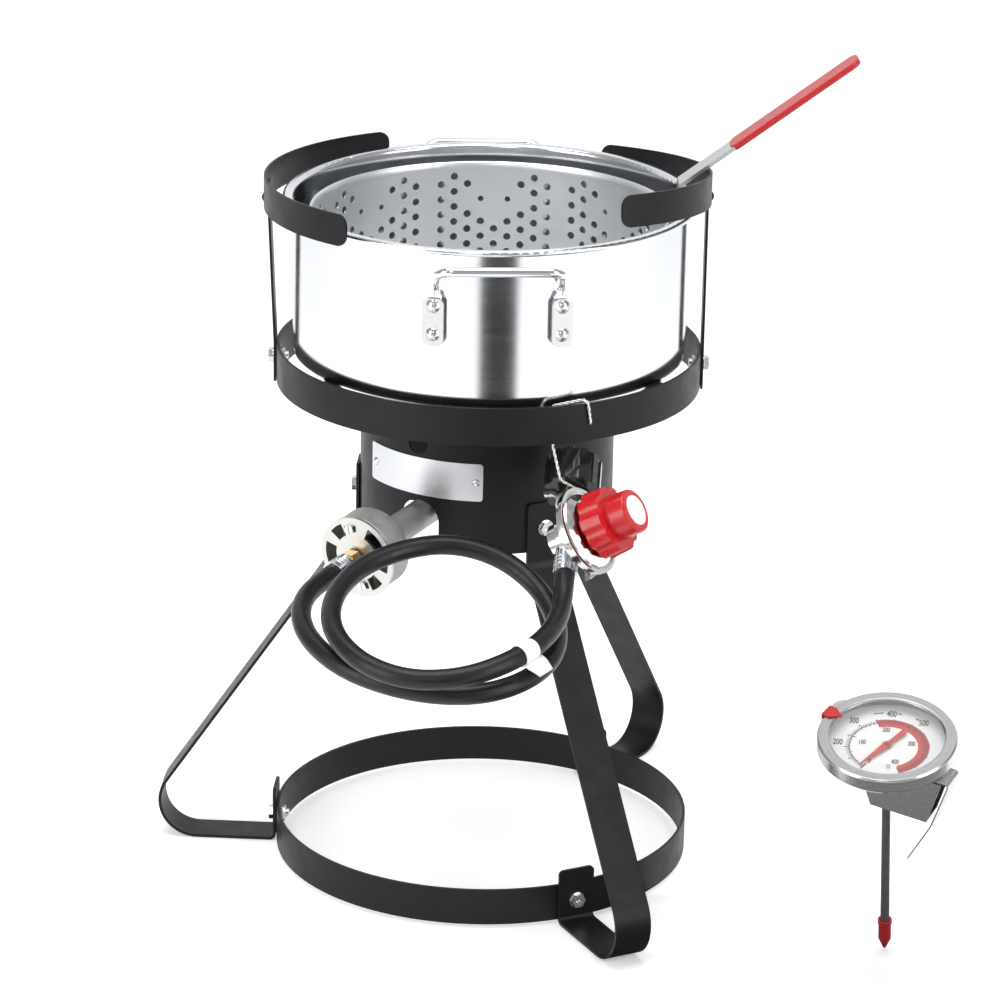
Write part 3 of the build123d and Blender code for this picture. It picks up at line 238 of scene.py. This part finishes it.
# ---------------------------------------------------------------- material building blocks
class Look:
    """A node material being built, with short names for the usual nodes."""

    def __init__(self, name):
        self.material = bpy.data.materials.new(name)
        self.material.use_nodes = True
        self.tree = self.material.node_tree
        self.shader = self.tree.nodes["Principled BSDF"]
        self.place = self.node("TexCoord").outputs["Object"]

    def node(self, kind, **settings):
        """New shader node, with its settings."""
        made = self.tree.nodes.new("ShaderNode" + kind)
        for key, value in settings.items():
            setattr(made, key, value)
        return made

    def join(self, source, target):
        """Link a socket to a socket."""
        self.tree.links.new(source, target)

    def set(self, **values):
        """Uniform values on the shader's own sockets."""
        names = {
            "color": "Base Color",
            "metal": "Metallic",
            "rough": "Roughness",
            "coat": "Coat Weight",
            "coat_rough": "Coat Roughness",
            "ior": "IOR",
            "alpha": "Alpha",
            "aniso": "Anisotropic",
            "specular": "Specular IOR Level",
        }
        for key, value in values.items():
            if key == "color":
                value = (*value[:3], 1)
            self.shader.inputs[names[key]].default_value = value

    def scaled(self, scale):
        """Object coordinates stretched by a scale of each axis."""
        mapping = self.node("Mapping")
        mapping.inputs["Scale"].default_value = scale
        self.join(self.place, mapping.inputs["Vector"])
        return mapping.outputs["Vector"]

    def noise(self, vector, scale, detail=3.0, rough=0.55):
        """Fractal noise between 0 and 1."""
        made = self.node("TexNoise")
        made.inputs["Scale"].default_value = scale
        made.inputs["Detail"].default_value = detail
        made.inputs["Roughness"].default_value = rough
        self.join(vector, made.inputs["Vector"])
        return made.outputs["Fac"]

    def math(self, operation, first, second=None):
        """Math node on sockets or numbers."""
        made = self.node("Math", operation=operation)
        for socket, value in zip(made.inputs, (first, second)):
            if isinstance(value, bpy.types.NodeSocket):
                self.join(value, socket)
            elif value is not None:
                socket.default_value = value
        return made.outputs[0]

    def spread(self, source, low, high, from_low=0.3, from_high=0.7):
        """Map a noise to a range of values."""
        made = self.node("MapRange")
        for name, value in (
            ("From Min", from_low),
            ("From Max", from_high),
            ("To Min", low),
            ("To Max", high),
        ):
            made.inputs[name].default_value = value
        self.join(source, made.inputs["Value"])
        return made.outputs["Result"]

    def mixed(self, source, first, second):
        """Colour between two colours."""
        made = self.node("Mix", data_type="RGBA")
        made.inputs[6].default_value = (*first[:3], 1)
        made.inputs[7].default_value = (*second[:3], 1)
        self.join(source, made.inputs[0])
        return made.outputs[2]

    def color(self, socket):
        """Base colour from a socket."""
        self.join(socket, self.shader.inputs["Base Color"])

    def rough(self, socket):
        """Roughness from a socket."""
        self.join(socket, self.shader.inputs["Roughness"])

    def bump(self, height, strength, distance, rounded=0.0):
        """Bump from a height, over edges rounded by a radius."""
        made = self.node("Bump")
        made.inputs["Strength"].default_value = strength
        made.inputs["Distance"].default_value = distance
        self.join(height, made.inputs["Height"])
        if rounded:
            bevel = self.node("Bevel", samples=4)
            bevel.inputs["Radius"].default_value = rounded
            self.join(bevel.outputs["Normal"], made.inputs["Normal"])
        self.join(made.outputs["Normal"], self.shader.inputs["Normal"])

    def about(self, origin, axis):
        """Height along an axis and distance from it, of the shaded point."""
        gap = self.node("VectorMath", operation="SUBTRACT")
        gap.inputs[1].default_value = origin
        self.join(self.place, gap.inputs[0])
        dot = self.node("VectorMath", operation="DOT_PRODUCT")
        dot.inputs[1].default_value = Vector(axis).normalized()
        self.join(gap.outputs["Vector"], dot.inputs[0])
        cross = self.node("VectorMath", operation="CROSS_PRODUCT")
        cross.inputs[1].default_value = Vector(axis).normalized()
        self.join(gap.outputs["Vector"], cross.inputs[0])
        length = self.node("VectorMath", operation="LENGTH")
        self.join(cross.outputs["Vector"], length.inputs[0])
        return dot.outputs["Value"], length.outputs["Value"]


def base(slot):
    """Colour of a slot in the record."""
    return slots[slot]["base_color"]


def shade(color, factor):
    """A colour made lighter or darker."""
    return [min(1.0, c * factor) for c in color[:3]]


# ---------------------------------------------------------------- materials
def powder_coat():
    """Satin black powder coat: fine orange peel, soft light edges."""
    look = Look("powder_coat")
    look.set(color=base("powder_coat"), rough=0.42, specular=0.2)
    clouds = look.noise(look.place, 18, 4)
    dark, light = (shade(base("powder_coat"), s) for s in (0.26, 0.42))
    look.color(look.mixed(clouds, dark, light))
    look.rough(look.spread(look.noise(look.place, 60, 3), 0.36, 0.47))
    peel = look.noise(look.place, 1500, 2)
    look.bump(peel, 0.28, 0.00012, rounded=0.0005)
    return look.material


def ring_brushed(slot, origin, axis, rough, contrast, pitch, aniso=0.0, rounded=0.0, depth=1.0):
    """Metal brushed or turned in circles about an axis, its colour deepened by a factor."""
    look = Look(slot)
    look.set(color=base(slot), metal=1.0, rough=rough, aniso=aniso)
    height, distance = look.about(origin, axis)
    lines = look.node("CombineXYZ")
    look.join(look.math("MULTIPLY", look.math("ADD", height, distance), pitch), lines.inputs["Z"])
    drift = look.node("VectorMath", operation="MULTIPLY_ADD")
    look.join(look.place, drift.inputs[0])
    drift.inputs[1].default_value = (5, 5, 0)
    look.join(lines.outputs["Vector"], drift.inputs[2])
    streaks = look.noise(drift.outputs["Vector"], 1.0, 4, 0.7)
    broad = look.noise(look.place, 9, 2)
    dark, light = (shade(base(slot), depth * (1 + s * contrast)) for s in (-1, 1))
    look.color(look.mixed(streaks, dark, light))
    both = look.math("ADD", look.math("MULTIPLY", streaks, 0.7), look.math("MULTIPLY", broad, 0.3))
    look.rough(look.spread(both, rough * 0.72, rough * 1.4))
    look.bump(streaks, 0.12, 0.00005, rounded)
    if aniso:
        tangent = look.node("Tangent", direction_type="RADIAL", axis="Z")
        look.join(tangent.outputs["Tangent"], look.shader.inputs["Tangent"])
    return look.material


def satin_sheet(slot, rough, grain, depth=1.0, rounded=0.0004):
    """Sheet metal with a straight satin grain along x, its colour deepened by a factor."""
    look = Look(slot)
    look.set(color=base(slot), metal=1.0, rough=rough)
    streaks = look.noise(look.scaled((grain * 0.03, grain * 0.5, grain)), 1.0, 3, 0.65)
    dark, light = (shade(base(slot), s * depth) for s in (0.90, 1.06))
    look.color(look.mixed(streaks, dark, light))
    look.rough(look.spread(streaks, rough * 0.75, rough * 1.3))
    look.bump(streaks, 0.16, 0.00004, rounded)
    return look.material


def polished(slot, rough, mottle, grain=700, rounded=0.0004):
    """Plated or polished metal with a slight mottle."""
    look = Look(slot)
    look.set(color=base(slot), metal=1.0, rough=rough)
    spots = look.noise(look.place, 120, 4)
    look.color(look.mixed(spots, shade(base(slot), 1 - mottle), shade(base(slot), 1 + mottle)))
    look.rough(look.spread(spots, rough * 0.6, rough * 1.6))
    look.bump(look.noise(look.place, grain, 2), 0.10, 0.00008, rounded)
    return look.material


def cast_grey():
    """Rough grey casting, shot-blasted."""
    look = Look("cast_grey")
    look.set(color=base("cast_grey"), metal=0.85, rough=0.5)
    clouds = look.noise(look.place, 70, 5)
    look.color(look.mixed(clouds, shade(base("cast_grey"), 0.75), shade(base("cast_grey"), 1.35)))
    look.rough(look.spread(clouds, 0.38, 0.62))
    pits = look.noise(look.place, 900, 4, 0.7)
    look.bump(pits, 0.55, 0.00035, rounded=0.0008)
    return look.material


def rubber():
    """Smooth extruded hose cover with faint dust and a fine bump all over."""
    look = Look("hose_rubber")
    look.set(color=base("hose_rubber"), rough=0.34, specular=0.3)
    clouds = look.noise(look.place, 45, 4)
    dark, light = (shade(base("hose_rubber"), s) for s in (0.35, 0.7))
    look.color(look.mixed(clouds, dark, light))
    look.rough(look.spread(look.noise(look.place, 160, 4), 0.28, 0.44))
    look.bump(look.noise(look.place, 1100, 3, 0.7), 0.20, 0.00012)
    return look.material


def plastic(slot, rough, coat, grain, strength, rounded=0.0006, depth=1.0):
    """Moulded plastic with a fine surface, its colour deepened by a factor."""
    look = Look(slot)
    look.set(color=base(slot), rough=rough, coat=coat, coat_rough=0.08, specular=0.35)
    clouds = look.noise(look.place, 40, 3)
    look.color(look.mixed(clouds, shade(base(slot), 0.90 * depth), shade(base(slot), 1.08 * depth)))
    look.rough(look.spread(look.noise(look.place, 220, 3), rough * 0.8, rough * 1.25))
    look.bump(look.noise(look.place, grain, 2), strength, 0.0001, rounded)
    return look.material


def lens_glass():
    """Thin clear glass that lets the dial through."""
    look = Look("gauge_lens")
    look.set(color=(0.97, 0.98, 0.98), rough=0.03, alpha=0.05, specular=0.4)
    smear = look.noise(look.place, 60, 2)
    look.rough(look.spread(smear, 0.02, 0.06))
    return look.material


def printed_white():
    """Matt white print with a faint paper tooth."""
    look = Look("gauge_dial")
    look.set(color=base("gauge_dial"), rough=0.5)
    clouds = look.noise(look.place, 80, 3)
    look.color(look.mixed(clouds, shade(base("gauge_dial"), 0.74), shade(base("gauge_dial"), 0.80)))
    look.rough(look.spread(clouds, 0.42, 0.55))
    look.bump(look.noise(look.place, 1800, 2), 0.08, 0.00004)
    return look.material


def printed_ink():
    """Black scale print."""
    look = Look("dial_ink")
    look.set(color=(0.02, 0.02, 0.022), rough=0.5)
    clouds = look.noise(look.place, 300, 2)
    look.color(look.mixed(clouds, (0.015, 0.015, 0.017), (0.035, 0.035, 0.038)))
    return look.material


GAUGE_AXIS = Vector(joints["pointer_turn"]["axis"])
DIAL_CENTRE = Vector(joints["pointer_turn"]["pos_m"])
REGULATOR_AXIS = Vector(joints["knob_turn"]["axis"])
INLET_AXIS = Vector(joints["tank_nut_spin"]["axis"])
INLET_CENTRE = Vector(joints["tank_nut_spin"]["pos_m"])
SHUTTER_AXIS = Vector(joints["shutter_turn"]["axis"])
SHUTTER_CENTRE = Vector(joints["shutter_turn"]["pos_m"])
UPRIGHT = (0, 0, 1)

materials = {
    "powder_coat": powder_coat(),
    "zinc_bolts": polished("zinc_bolts", 0.20, 0.10),
    "satin_plate": satin_sheet("satin_plate", 0.36, 2200, depth=0.82),
    "cast_grey": cast_grey(),
    "shutter_steel": ring_brushed(
        "shutter_steel", SHUTTER_CENTRE, SHUTTER_AXIS, 0.36, 0.05, 900, depth=0.72
    ),
    "brass_fitting": polished("brass_fitting", 0.16, 0.08),
    "crimped_steel": polished("crimped_steel", 0.20, 0.08),
    "nickel_casting": polished("nickel_casting", 0.15, 0.07, grain=420),
    "red_knob": plastic("red_knob", 0.28, 0.25, 900, 0.10, depth=0.72),
    "white_print": plastic("white_print", 0.5, 0.0, 1600, 0.12, 0.0002),
    "black_nut": plastic("black_nut", 0.16, 0.35, 700, 0.06, depth=0.6),
    "hose_rubber": rubber(),
    "galvanised_wire": polished("galvanised_wire", 0.24, 0.12, rounded=0),
    "pot_aluminium": ring_brushed(
        "pot_aluminium", (0, 0, 0), UPRIGHT, 0.13, 0.05, 1500, 0.45, depth=0.92
    ),
    "basket_aluminium": ring_brushed("basket_aluminium", (0, 0, 0), UPRIGHT, 0.34, 0.03, 1100),
    "chrome_wire": polished("chrome_wire", 0.07, 0.03, rounded=0),
    "satin_strap": satin_sheet("satin_strap", 0.30, 1500, depth=0.74),
    "grip_vinyl": plastic("grip_vinyl", 0.32, 0.15, 500, 0.16, depth=0.56),
    "gauge_case": ring_brushed("gauge_case", DIAL_CENTRE, GAUGE_AXIS, 0.26, 0.06, 1600, depth=0.7),
    "gauge_bezel": ring_brushed(
        "gauge_bezel", DIAL_CENTRE, GAUGE_AXIS, 0.24, 0.06, 1600, rounded=0.0008, depth=0.72
    ),
    "gauge_stem": ring_brushed("gauge_stem", DIAL_CENTRE, GAUGE_AXIS, 0.32, 0.10, 700, depth=0.8),
    "gauge_lens": lens_glass(),
    "gauge_dial": printed_white(),
    "gauge_red": plastic("gauge_red", 0.35, 0.15, 900, 0.06, 0.0003, depth=0.6),
    "dial_ink": printed_ink(),
}


def dress(obj, slot):
    """Give a piece its one material."""
    obj.data.materials.clear()
    obj.data.materials.append(materials[slot])


for entry in frame["record"]["subparts"]:
    dress(nodes[entry["node"]], entry["material_slot"])
dress(hose, "hose_rubber")
dress(paper_tag, "white_print")


# ---------------------------------------------------------------- perforated basket
BASKET_OUT = 0.1415
BASKET_RIM_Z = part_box("basket")[1].z
BASKET_LOW_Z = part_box("basket")[0].z
SHEET = 0.0012
HALF_ROW = 0.00645
HALF_ROWS = 16
WALL_TOP_Z = BASKET_RIM_Z - 0.0056
PATTERN_TURN = -0.7
COLUMN_STEP = 4.5
HOLE_RADIUS = 0.00305
SMALL_RADIUS = 0.00235


def column_rows(offset):
    """Holes of one column of the pattern: {row: radius}, in pitches from the top."""
    lowest = HALF_ROWS / 2 - 1
    first = {18.0: 0.5, 13.5: 0.0, 9.0: 2.5, 4.5: 3.0, 0.0: 3.5}.get(abs(offset))
    if first is None:
        return {}
    rows = {}
    row = first
    while row <= lowest:
        rows[row] = HOLE_RADIUS
        row += 1
    if abs(offset) == 9.0:
        rows[0.5] = HOLE_RADIUS
    if abs(offset) == 4.5:
        rows[1.5] = SMALL_RADIUS
    return rows


def cell(bm, place, width, height, radius):
    """One cell of sheet, with a round hole when it has a radius; place(x, y) is on the sheet."""
    edge = [(-1, -1), (0, -1), (1, -1), (1, 0), (1, 1), (0, 1), (-1, 1), (-1, 0)]
    outer = [bm.verts.new(place(x * width / 2, y * height / 2)) for x, y in edge]
    if not radius:
        bm.faces.new(outer)
        return
    ring = []
    for k in range(16):
        turn = radians(-135 + 22.5 * k)
        ring.append(bm.verts.new(place(radius * cos(turn), radius * sin(turn))))
    for k in range(8):
        after = (k + 1) % 8
        corners = (outer[k], outer[after], ring[(2 * k + 2) % 16], ring[2 * k + 1], ring[2 * k])
        bm.faces.new(corners)


def on_wall(azimuth, height):
    """Function that bends a flat cell onto the basket's wall."""

    def place(across, up):
        turn = radians(azimuth) + across / BASKET_OUT
        return Vector((BASKET_OUT * cos(turn), BASKET_OUT * sin(turn), height + up))

    return place


def plain_half_cell(bm, azimuth, top):
    """Half a cell of plain sheet."""
    place = on_wall(azimuth, top - HALF_ROW / 2)
    width = radians(COLUMN_STEP) * BASKET_OUT
    edge = ((-1, -1), (0, -1), (1, -1), (1, 1), (0, 1), (-1, 1))
    corners = [(x * width / 2, y * HALF_ROW / 2) for x, y in edge]
    bm.faces.new([bm.verts.new(place(x, y)) for x, y in corners])


def wall_column(bm, azimuth, rows):
    """Cells of one column, from the top down."""
    width = radians(COLUMN_STEP) * BASKET_OUT
    step = 0
    while step < HALF_ROWS:
        row = step / 2
        top = WALL_TOP_Z - step * HALF_ROW
        if row in rows:
            cell(bm, on_wall(azimuth, top - HALF_ROW), width, 2 * HALF_ROW, rows[row])
            step += 2
        else:
            plain_half_cell(bm, azimuth, top)
            step += 1


def turned_rings(bm, profile, steps):
    """Surface turned about the z axis through (radius, height) points."""
    rings = []
    for radius, height in profile:
        ring = []
        for k in range(steps):
            turn = 2 * pi * k / steps + radians(PATTERN_TURN)
            ring.append(bm.verts.new((radius * cos(turn), radius * sin(turn), height)))
        rings.append(ring)
    for low, high in zip(rings, rings[1:]):
        for k in range(steps):
            after = (k + 1) % steps
            bm.faces.new((low[k], low[after], high[after], high[k]))
    return rings


def basket_floor(bm, edge_ring, pitch):
    """Perforated floor: square cells inside the round edge, joined to it."""
    height = edge_ring[0].co.z
    reach = edge_ring[0].co.xy.length - 0.006
    count = int(reach / pitch) + 1
    for i in range(-count, count + 1):
        for j in range(-count, count + 1):
            far = Vector((abs(i) + 0.5, abs(j) + 0.5)).length * pitch
            if far > reach:
                continue

            def place(x, y, i=i, j=j):
                return Vector((i * pitch + x, j * pitch + y, height))

            cell(bm, place, pitch, pitch, HOLE_RADIUS)


def make_basket():
    """The basket as perforated sheet with a rolled rim."""
    bm = bmesh.new()
    steps = 160
    columns = round(360 / COLUMN_STEP)
    for k in range(columns):
        offset = (k % 10) * COLUMN_STEP
        offset = offset - 45 if offset > 22.5 else offset
        wall_column(bm, PATTERN_TURN + k * COLUMN_STEP, column_rows(offset))
    roll = 0.0012
    top = [(BASKET_OUT, WALL_TOP_Z), (BASKET_OUT, BASKET_RIM_Z - 0.0032)]
    top += [(BASKET_OUT + 0.0006, BASKET_RIM_Z - 0.0018)]
    rim_centre = (BASKET_OUT + 0.0021, BASKET_RIM_Z - roll)
    for k in range(9):
        turn = radians(150 - 40 * k)
        top.append((rim_centre[0] + roll * cos(turn), rim_centre[1] + roll * sin(turn)))
    turned_rings(bm, top, steps)
    corner = 0.012
    low_z = WALL_TOP_Z - HALF_ROWS * HALF_ROW
    low = [(BASKET_OUT, low_z)]
    for k in range(7):
        turn = radians(-15 * k)
        inward = corner * (1 - cos(turn))
        low.append((BASKET_OUT - inward, BASKET_LOW_Z + corner + corner * sin(turn)))
    rings = turned_rings(bm, low, steps)
    edge_ring = rings[-1]
    basket_floor(bm, edge_ring, 2 * HALF_ROW)
    bmesh.ops.remove_doubles(bm, verts=bm.verts, dist=1e-6)
    floor_level = BASKET_LOW_Z
    rim_edges = []
    for edge in bm.edges:
        if len(edge.link_faces) != 1:
            continue
        if any(abs(vertex.co.z - floor_level) > 1e-5 for vertex in edge.verts):
            continue
        if edge.calc_length() < 2 * HOLE_RADIUS * sin(pi / 16) * 1.2:
            continue
        rim_edges.append(edge)
    bmesh.ops.triangle_fill(bm, use_beauty=True, edges=rim_edges)
    basket = mesh_piece("perforated_basket", bm, "basket")
    solid = basket.modifiers.new("thickness", "SOLIDIFY")
    solid.thickness = SHEET
    solid.offset = -1
    split = basket.modifiers.new("edges", "EDGE_SPLIT")
    split.split_angle = radians(40)
    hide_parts("basket")
    dress(basket, "basket_aluminium")


make_basket()


# ---------------------------------------------------------------- twisted wire hook
WIRE_STRAND = 0.00072
WIRE_TWIST = 0.0095


def rounded_line(points, radius, step):
    """Line through points, with each corner rounded by an arc."""
    line = [points[0]]
    for before, corner, after in zip(points, points[1:], points[2:]):
        first = (before - corner).normalized()
        second = (after - corner).normalized()
        half = first.angle(second) / 2
        reach = min((before - corner).length, (after - corner).length) * 0.45
        back = min(reach, radius / tan(half))
        centre = corner + (first + second).normalized() * (back / cos(half))
        start = corner + first * back
        end = corner + second * back
        turns = 8
        for k in range(turns + 1):
            t = k / turns
            spot = (start.lerp(end, t) - centre).normalized()
            line.append(centre + spot * (start - centre).length)
    line.append(points[-1])
    even = [line[0]]
    for a, b in zip(line, line[1:]):
        count = max(1, round((b - a).length / step))
        even += [a.lerp(b, (k + 1) / count) for k in range(count)]
    return even


def make_wire_hook():
    """Two strands of wire twisted together, from the top ring's edge down round the inlet."""
    gap = INLET_CENTRE - INLET_AXIS * 0.017
    up = REGULATOR_AXIS.cross(INLET_AXIS)

    def round_nipple(out, rise):
        return gap + (REGULATOR_AXIS * out + up * rise) * MM

    route = [
        Vector((80.2, -152.6, 421)) * MM,
        Vector((77.5, -154.3, 439.5)) * MM,
        Vector((73.5, -149.6, 439.5)) * MM,
        Vector((47, -159.9, 436.5)) * MM,
        Vector((51.4, -158, 404)) * MM,
        round_nipple(5, 20.6),
        round_nipple(12.1, -5.8),
        round_nipple(5, -13.5),
        round_nipple(-8, -11),
        round_nipple(-12.3, -1),
        round_nipple(-8.8, 8),
        round_nipple(-17.1, 12),
    ]
    line = rounded_line(route, 0.006, 0.0008)
    bm = bmesh.new()
    for phase in (0, pi):
        strand = []
        travelled = 0.0
        side = (line[1] - line[0]).orthogonal().normalized()
        for i, point in enumerate(line):
            along = (line[min(i + 1, len(line) - 1)] - line[max(i - 1, 0)]).normalized()
            side = (side - along * side.dot(along)).normalized()
            if i:
                travelled += (point - line[i - 1]).length
            turn = phase + 2 * pi * travelled / WIRE_TWIST
            out = side * cos(turn) + along.cross(side) * sin(turn)
            strand.append(point + out * WIRE_STRAND * 0.85)
        sweep_tube(bm, strand, WIRE_STRAND, 8)
    hook = mesh_piece("twisted_wire_hook", bm, "stand")
    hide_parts("wire_hook")
    dress(hook, "galvanised_wire")


make_wire_hook()


# ---------------------------------------------------------------- dial print
DIAL = frame_matrix(DIAL_CENTRE, GAUGE_AXIS, (1, 0, 0))
PRINT_RISE = 0.00012
SCALE_RADIUS = 0.0290
SCALE_START = 229.0
SCALE_PER_HUNDRED = -75.8
PRINT_TILT = -8.0


def on_dial(radius, angle, rise=PRINT_RISE):
    """Point of the dial at a radius and an angle from its right."""
    turn = radians(angle)
    return DIAL @ Vector((radius * cos(turn), radius * sin(turn), rise))


def dial_arc(bm, inner, outer, start, end, rise):
    """Flat band of an arc on the dial."""
    steps = max(2, round(abs(end - start) / 3))
    last = None
    for k in range(steps + 1):
        angle = start + (end - start) * k / steps
        pair = [bm.verts.new(on_dial(r, angle, rise)) for r in (inner, outer)]
        if last:
            bm.faces.new((last[0], last[1], pair[1], pair[0]))
        last = pair


def dial_tick(bm, inner, outer, angle, width):
    """One radial tick."""
    corners = []
    for radius, sign in ((inner, -1), (outer, -1), (outer, 1), (inner, 1)):
        swing = (sign * width / 2 / radius) * 180 / pi
        corners.append(bm.verts.new(on_dial(radius, angle + swing, PRINT_RISE * 2)))
    bm.faces.new(corners)


def dial_number(text, radius, angle, size):
    """A narrow number printed on the dial, level with the others."""
    data = bpy.data.curves.new("number_" + text, "FONT")
    data.body = text
    data.size = size
    data.align_x = "CENTER"
    data.align_y = "CENTER"
    data.extrude = 0.00003
    data.offset = 0.00016
    made = link(bpy.data.objects.new("number_" + text, data))
    turn = radians(angle)
    spot = Matrix.Translation((radius * cos(turn), radius * sin(turn), PRINT_RISE * 1.5))
    narrow = Matrix.Diagonal((0.52, 1, 1, 1))
    made.matrix_world = DIAL @ spot @ Matrix.Rotation(radians(PRINT_TILT), 4, "Z") @ narrow
    bpy.context.view_layer.update()
    graph = bpy.context.evaluated_depsgraph_get()
    mesh = bpy.data.meshes.new_from_object(made.evaluated_get(graph))
    mesh.transform(made.matrix_world)
    bpy.data.objects.remove(made)
    return mesh


def make_dial_print():
    """Red band, tick marks and plain numbers of the two scales."""
    bm = bmesh.new()
    dial_arc(bm, 0.0237, 0.0325, 101.0, -76.0, PRINT_RISE)
    for start, end in ((101.0, 90.0), (75.0, 69.5), (53.5, 48.5)):
        dial_arc(bm, 0.0398, 0.0412, start, end, PRINT_RISE)
    red = mesh_piece("dial_red_band", bm, "thermometer", smooth=False)
    dress(red, "gauge_red")

    bm = bmesh.new()
    dial_arc(bm, SCALE_RADIUS - 0.0003, SCALE_RADIUS + 0.0003, SCALE_START, -77.0, PRINT_RISE * 2)
    fine = 40
    for k in range(fine + 1):
        angle = SCALE_START + SCALE_PER_HUNDRED * 4.04 * k / fine
        long = k % 10 == 0
        middle = k % 5 == 0
        inner = SCALE_RADIUS - (0.0030 if long else 0.0022 if middle else 0.0014)
        dial_tick(bm, inner, SCALE_RADIUS, angle, 0.00090 if long else 0.00062)
    outer_fine = 72
    for k in range(outer_fine + 1):
        angle = SCALE_START + (-77.0 - SCALE_START) * k / outer_fine
        long = k % 6 == 0
        outer = SCALE_RADIUS + (0.0042 if long else 0.0026)
        dial_tick(bm, SCALE_RADIUS, outer, angle, 0.00090 if long else 0.00060)
    inner_scale = (
        ("0", 229, 22),
        ("100", 162, 19.8),
        ("200", 88, 19.9),
        ("300", 7, 19),
        ("400", -75, 19.2),
    )
    for number, angle, radius in inner_scale:
        bm.from_mesh(dial_number(number, radius * MM, angle, 0.0074))
    outer_scale = (("200", 169, 38), ("300", 126, 39.8), ("400", 81, 39.2), ("500", 41.5, 40.0))
    for number, angle, radius in outer_scale:
        bm.from_mesh(dial_number(number, radius * MM, angle, 0.0096))
    ink = mesh_piece("dial_scale_print", bm, "thermometer", smooth=False)
    dress(ink, "dial_ink")


make_dial_print()


# ---------------------------------------------------------------- floor, backdrop, cards, light
def make_studio():
    """Pale sweep of floor and backdrop."""
    bm = bmesh.new()
    half = 9.0
    rows = []
    rise_start = 3.2
    bend = 2.2
    path = [(-9.0, 0.0), (rise_start, 0.0)]
    for k in range(1, 13):
        turn = radians(90 * k / 12)
        path.append((rise_start + bend * sin(turn), bend * (1 - cos(turn))))
    path.append((rise_start + bend, 9.0))
    for y, z in path:
        rows.append([bm.verts.new((x, y, z - 0.0006)) for x in (-half, half)])
    for low, high in zip(rows, rows[1:]):
        bm.faces.new((low[0], low[1], high[1], high[0]))
    mesh = bpy.data.meshes.new("studio_floor")
    bm.to_mesh(mesh)
    bm.free()
    for polygon in mesh.polygons:
        polygon.use_smooth = True
    floor = link(bpy.data.objects.new("studio_floor", mesh))
    look = Look("studio_paper")
    look.set(color=(0.92, 0.92, 0.92), rough=0.9, specular=0.1)
    look.shader.inputs["Emission Color"].default_value = (1, 1, 1, 1)
    look.shader.inputs["Emission Strength"].default_value = 0.32
    look.bump(look.noise(look.place, 400, 2), 0.03, 0.0002)
    floor.data.materials.append(look.material)


def dark_card(name, place, width, height, turn, grey, tilt=90):
    """Card in front of the stand, seen only in the metal, as a dark band."""
    bm = bmesh.new()
    bmesh.ops.create_grid(bm, x_segments=1, y_segments=1, size=0.5)
    mesh = bpy.data.meshes.new(name)
    bm.to_mesh(mesh)
    bm.free()
    card = link(bpy.data.objects.new(name, mesh))
    upright = Matrix.Rotation(radians(tilt), 4, "X")
    size = Matrix.Diagonal((width, height, 1, 1))
    spot = Matrix.Translation(place) @ Matrix.Rotation(radians(turn), 4, "Z")
    card.matrix_world = spot @ upright @ size
    card.visible_camera = False
    card.visible_shadow = False
    look = Look(name)
    look.set(color=(grey, grey, grey), rough=0.9, specular=0.05)
    card.data.materials.append(look.material)


def area_light(name, place, target, size, power, color=(1, 1, 1)):
    """Rectangular soft box aimed at a point."""
    data = bpy.data.lights.new(name, "AREA")
    data.shape = "RECTANGLE"
    data.size, data.size_y = size
    data.energy = power
    data.color = color
    light = link(bpy.data.objects.new(name, data))
    aim = Vector(target) - Vector(place)
    facing = aim.to_track_quat("-Z", "Y").to_matrix().to_4x4()
    light.matrix_world = Matrix.Translation(place) @ facing
    return light


def make_lights():
    """Two side boxes, a top box, a small front box and a pale surround."""
    centre = (0.0, 0.0, 0.42)
    area_light("box_left", (-2.3, -1.9, 1.2), centre, (1.3, 2.4), 44)
    area_light("box_right", (2.4, -1.7, 1.2), centre, (1.3, 2.4), 40)
    area_light("box_top", (0.0, -0.2, 3.0), centre, (2.4, 2.0), 62)
    area_light("box_front", (-0.55, -3.9, 2.6), centre, (0.9, 0.9), 12)
    world = bpy.data.worlds.new("surround")
    world.use_nodes = True
    background = world.node_tree.nodes["Background"]
    background.inputs["Color"].default_value = (0.95, 0.97, 1.0, 1)
    background.inputs["Strength"].default_value = 0.42
    bpy.context.scene.world = world
    bpy.context.scene.view_settings.view_transform = "Standard"


make_studio()
dark_card("dark_card_middle", (0.10, -1.12, 0.17), 0.40, 0.34, 4, 0.02)
dark_card("dark_card_gauge", (0.39, -0.42, 0.002), 0.60, 0.64, 0, 0.20, tilt=0)
make_lights()
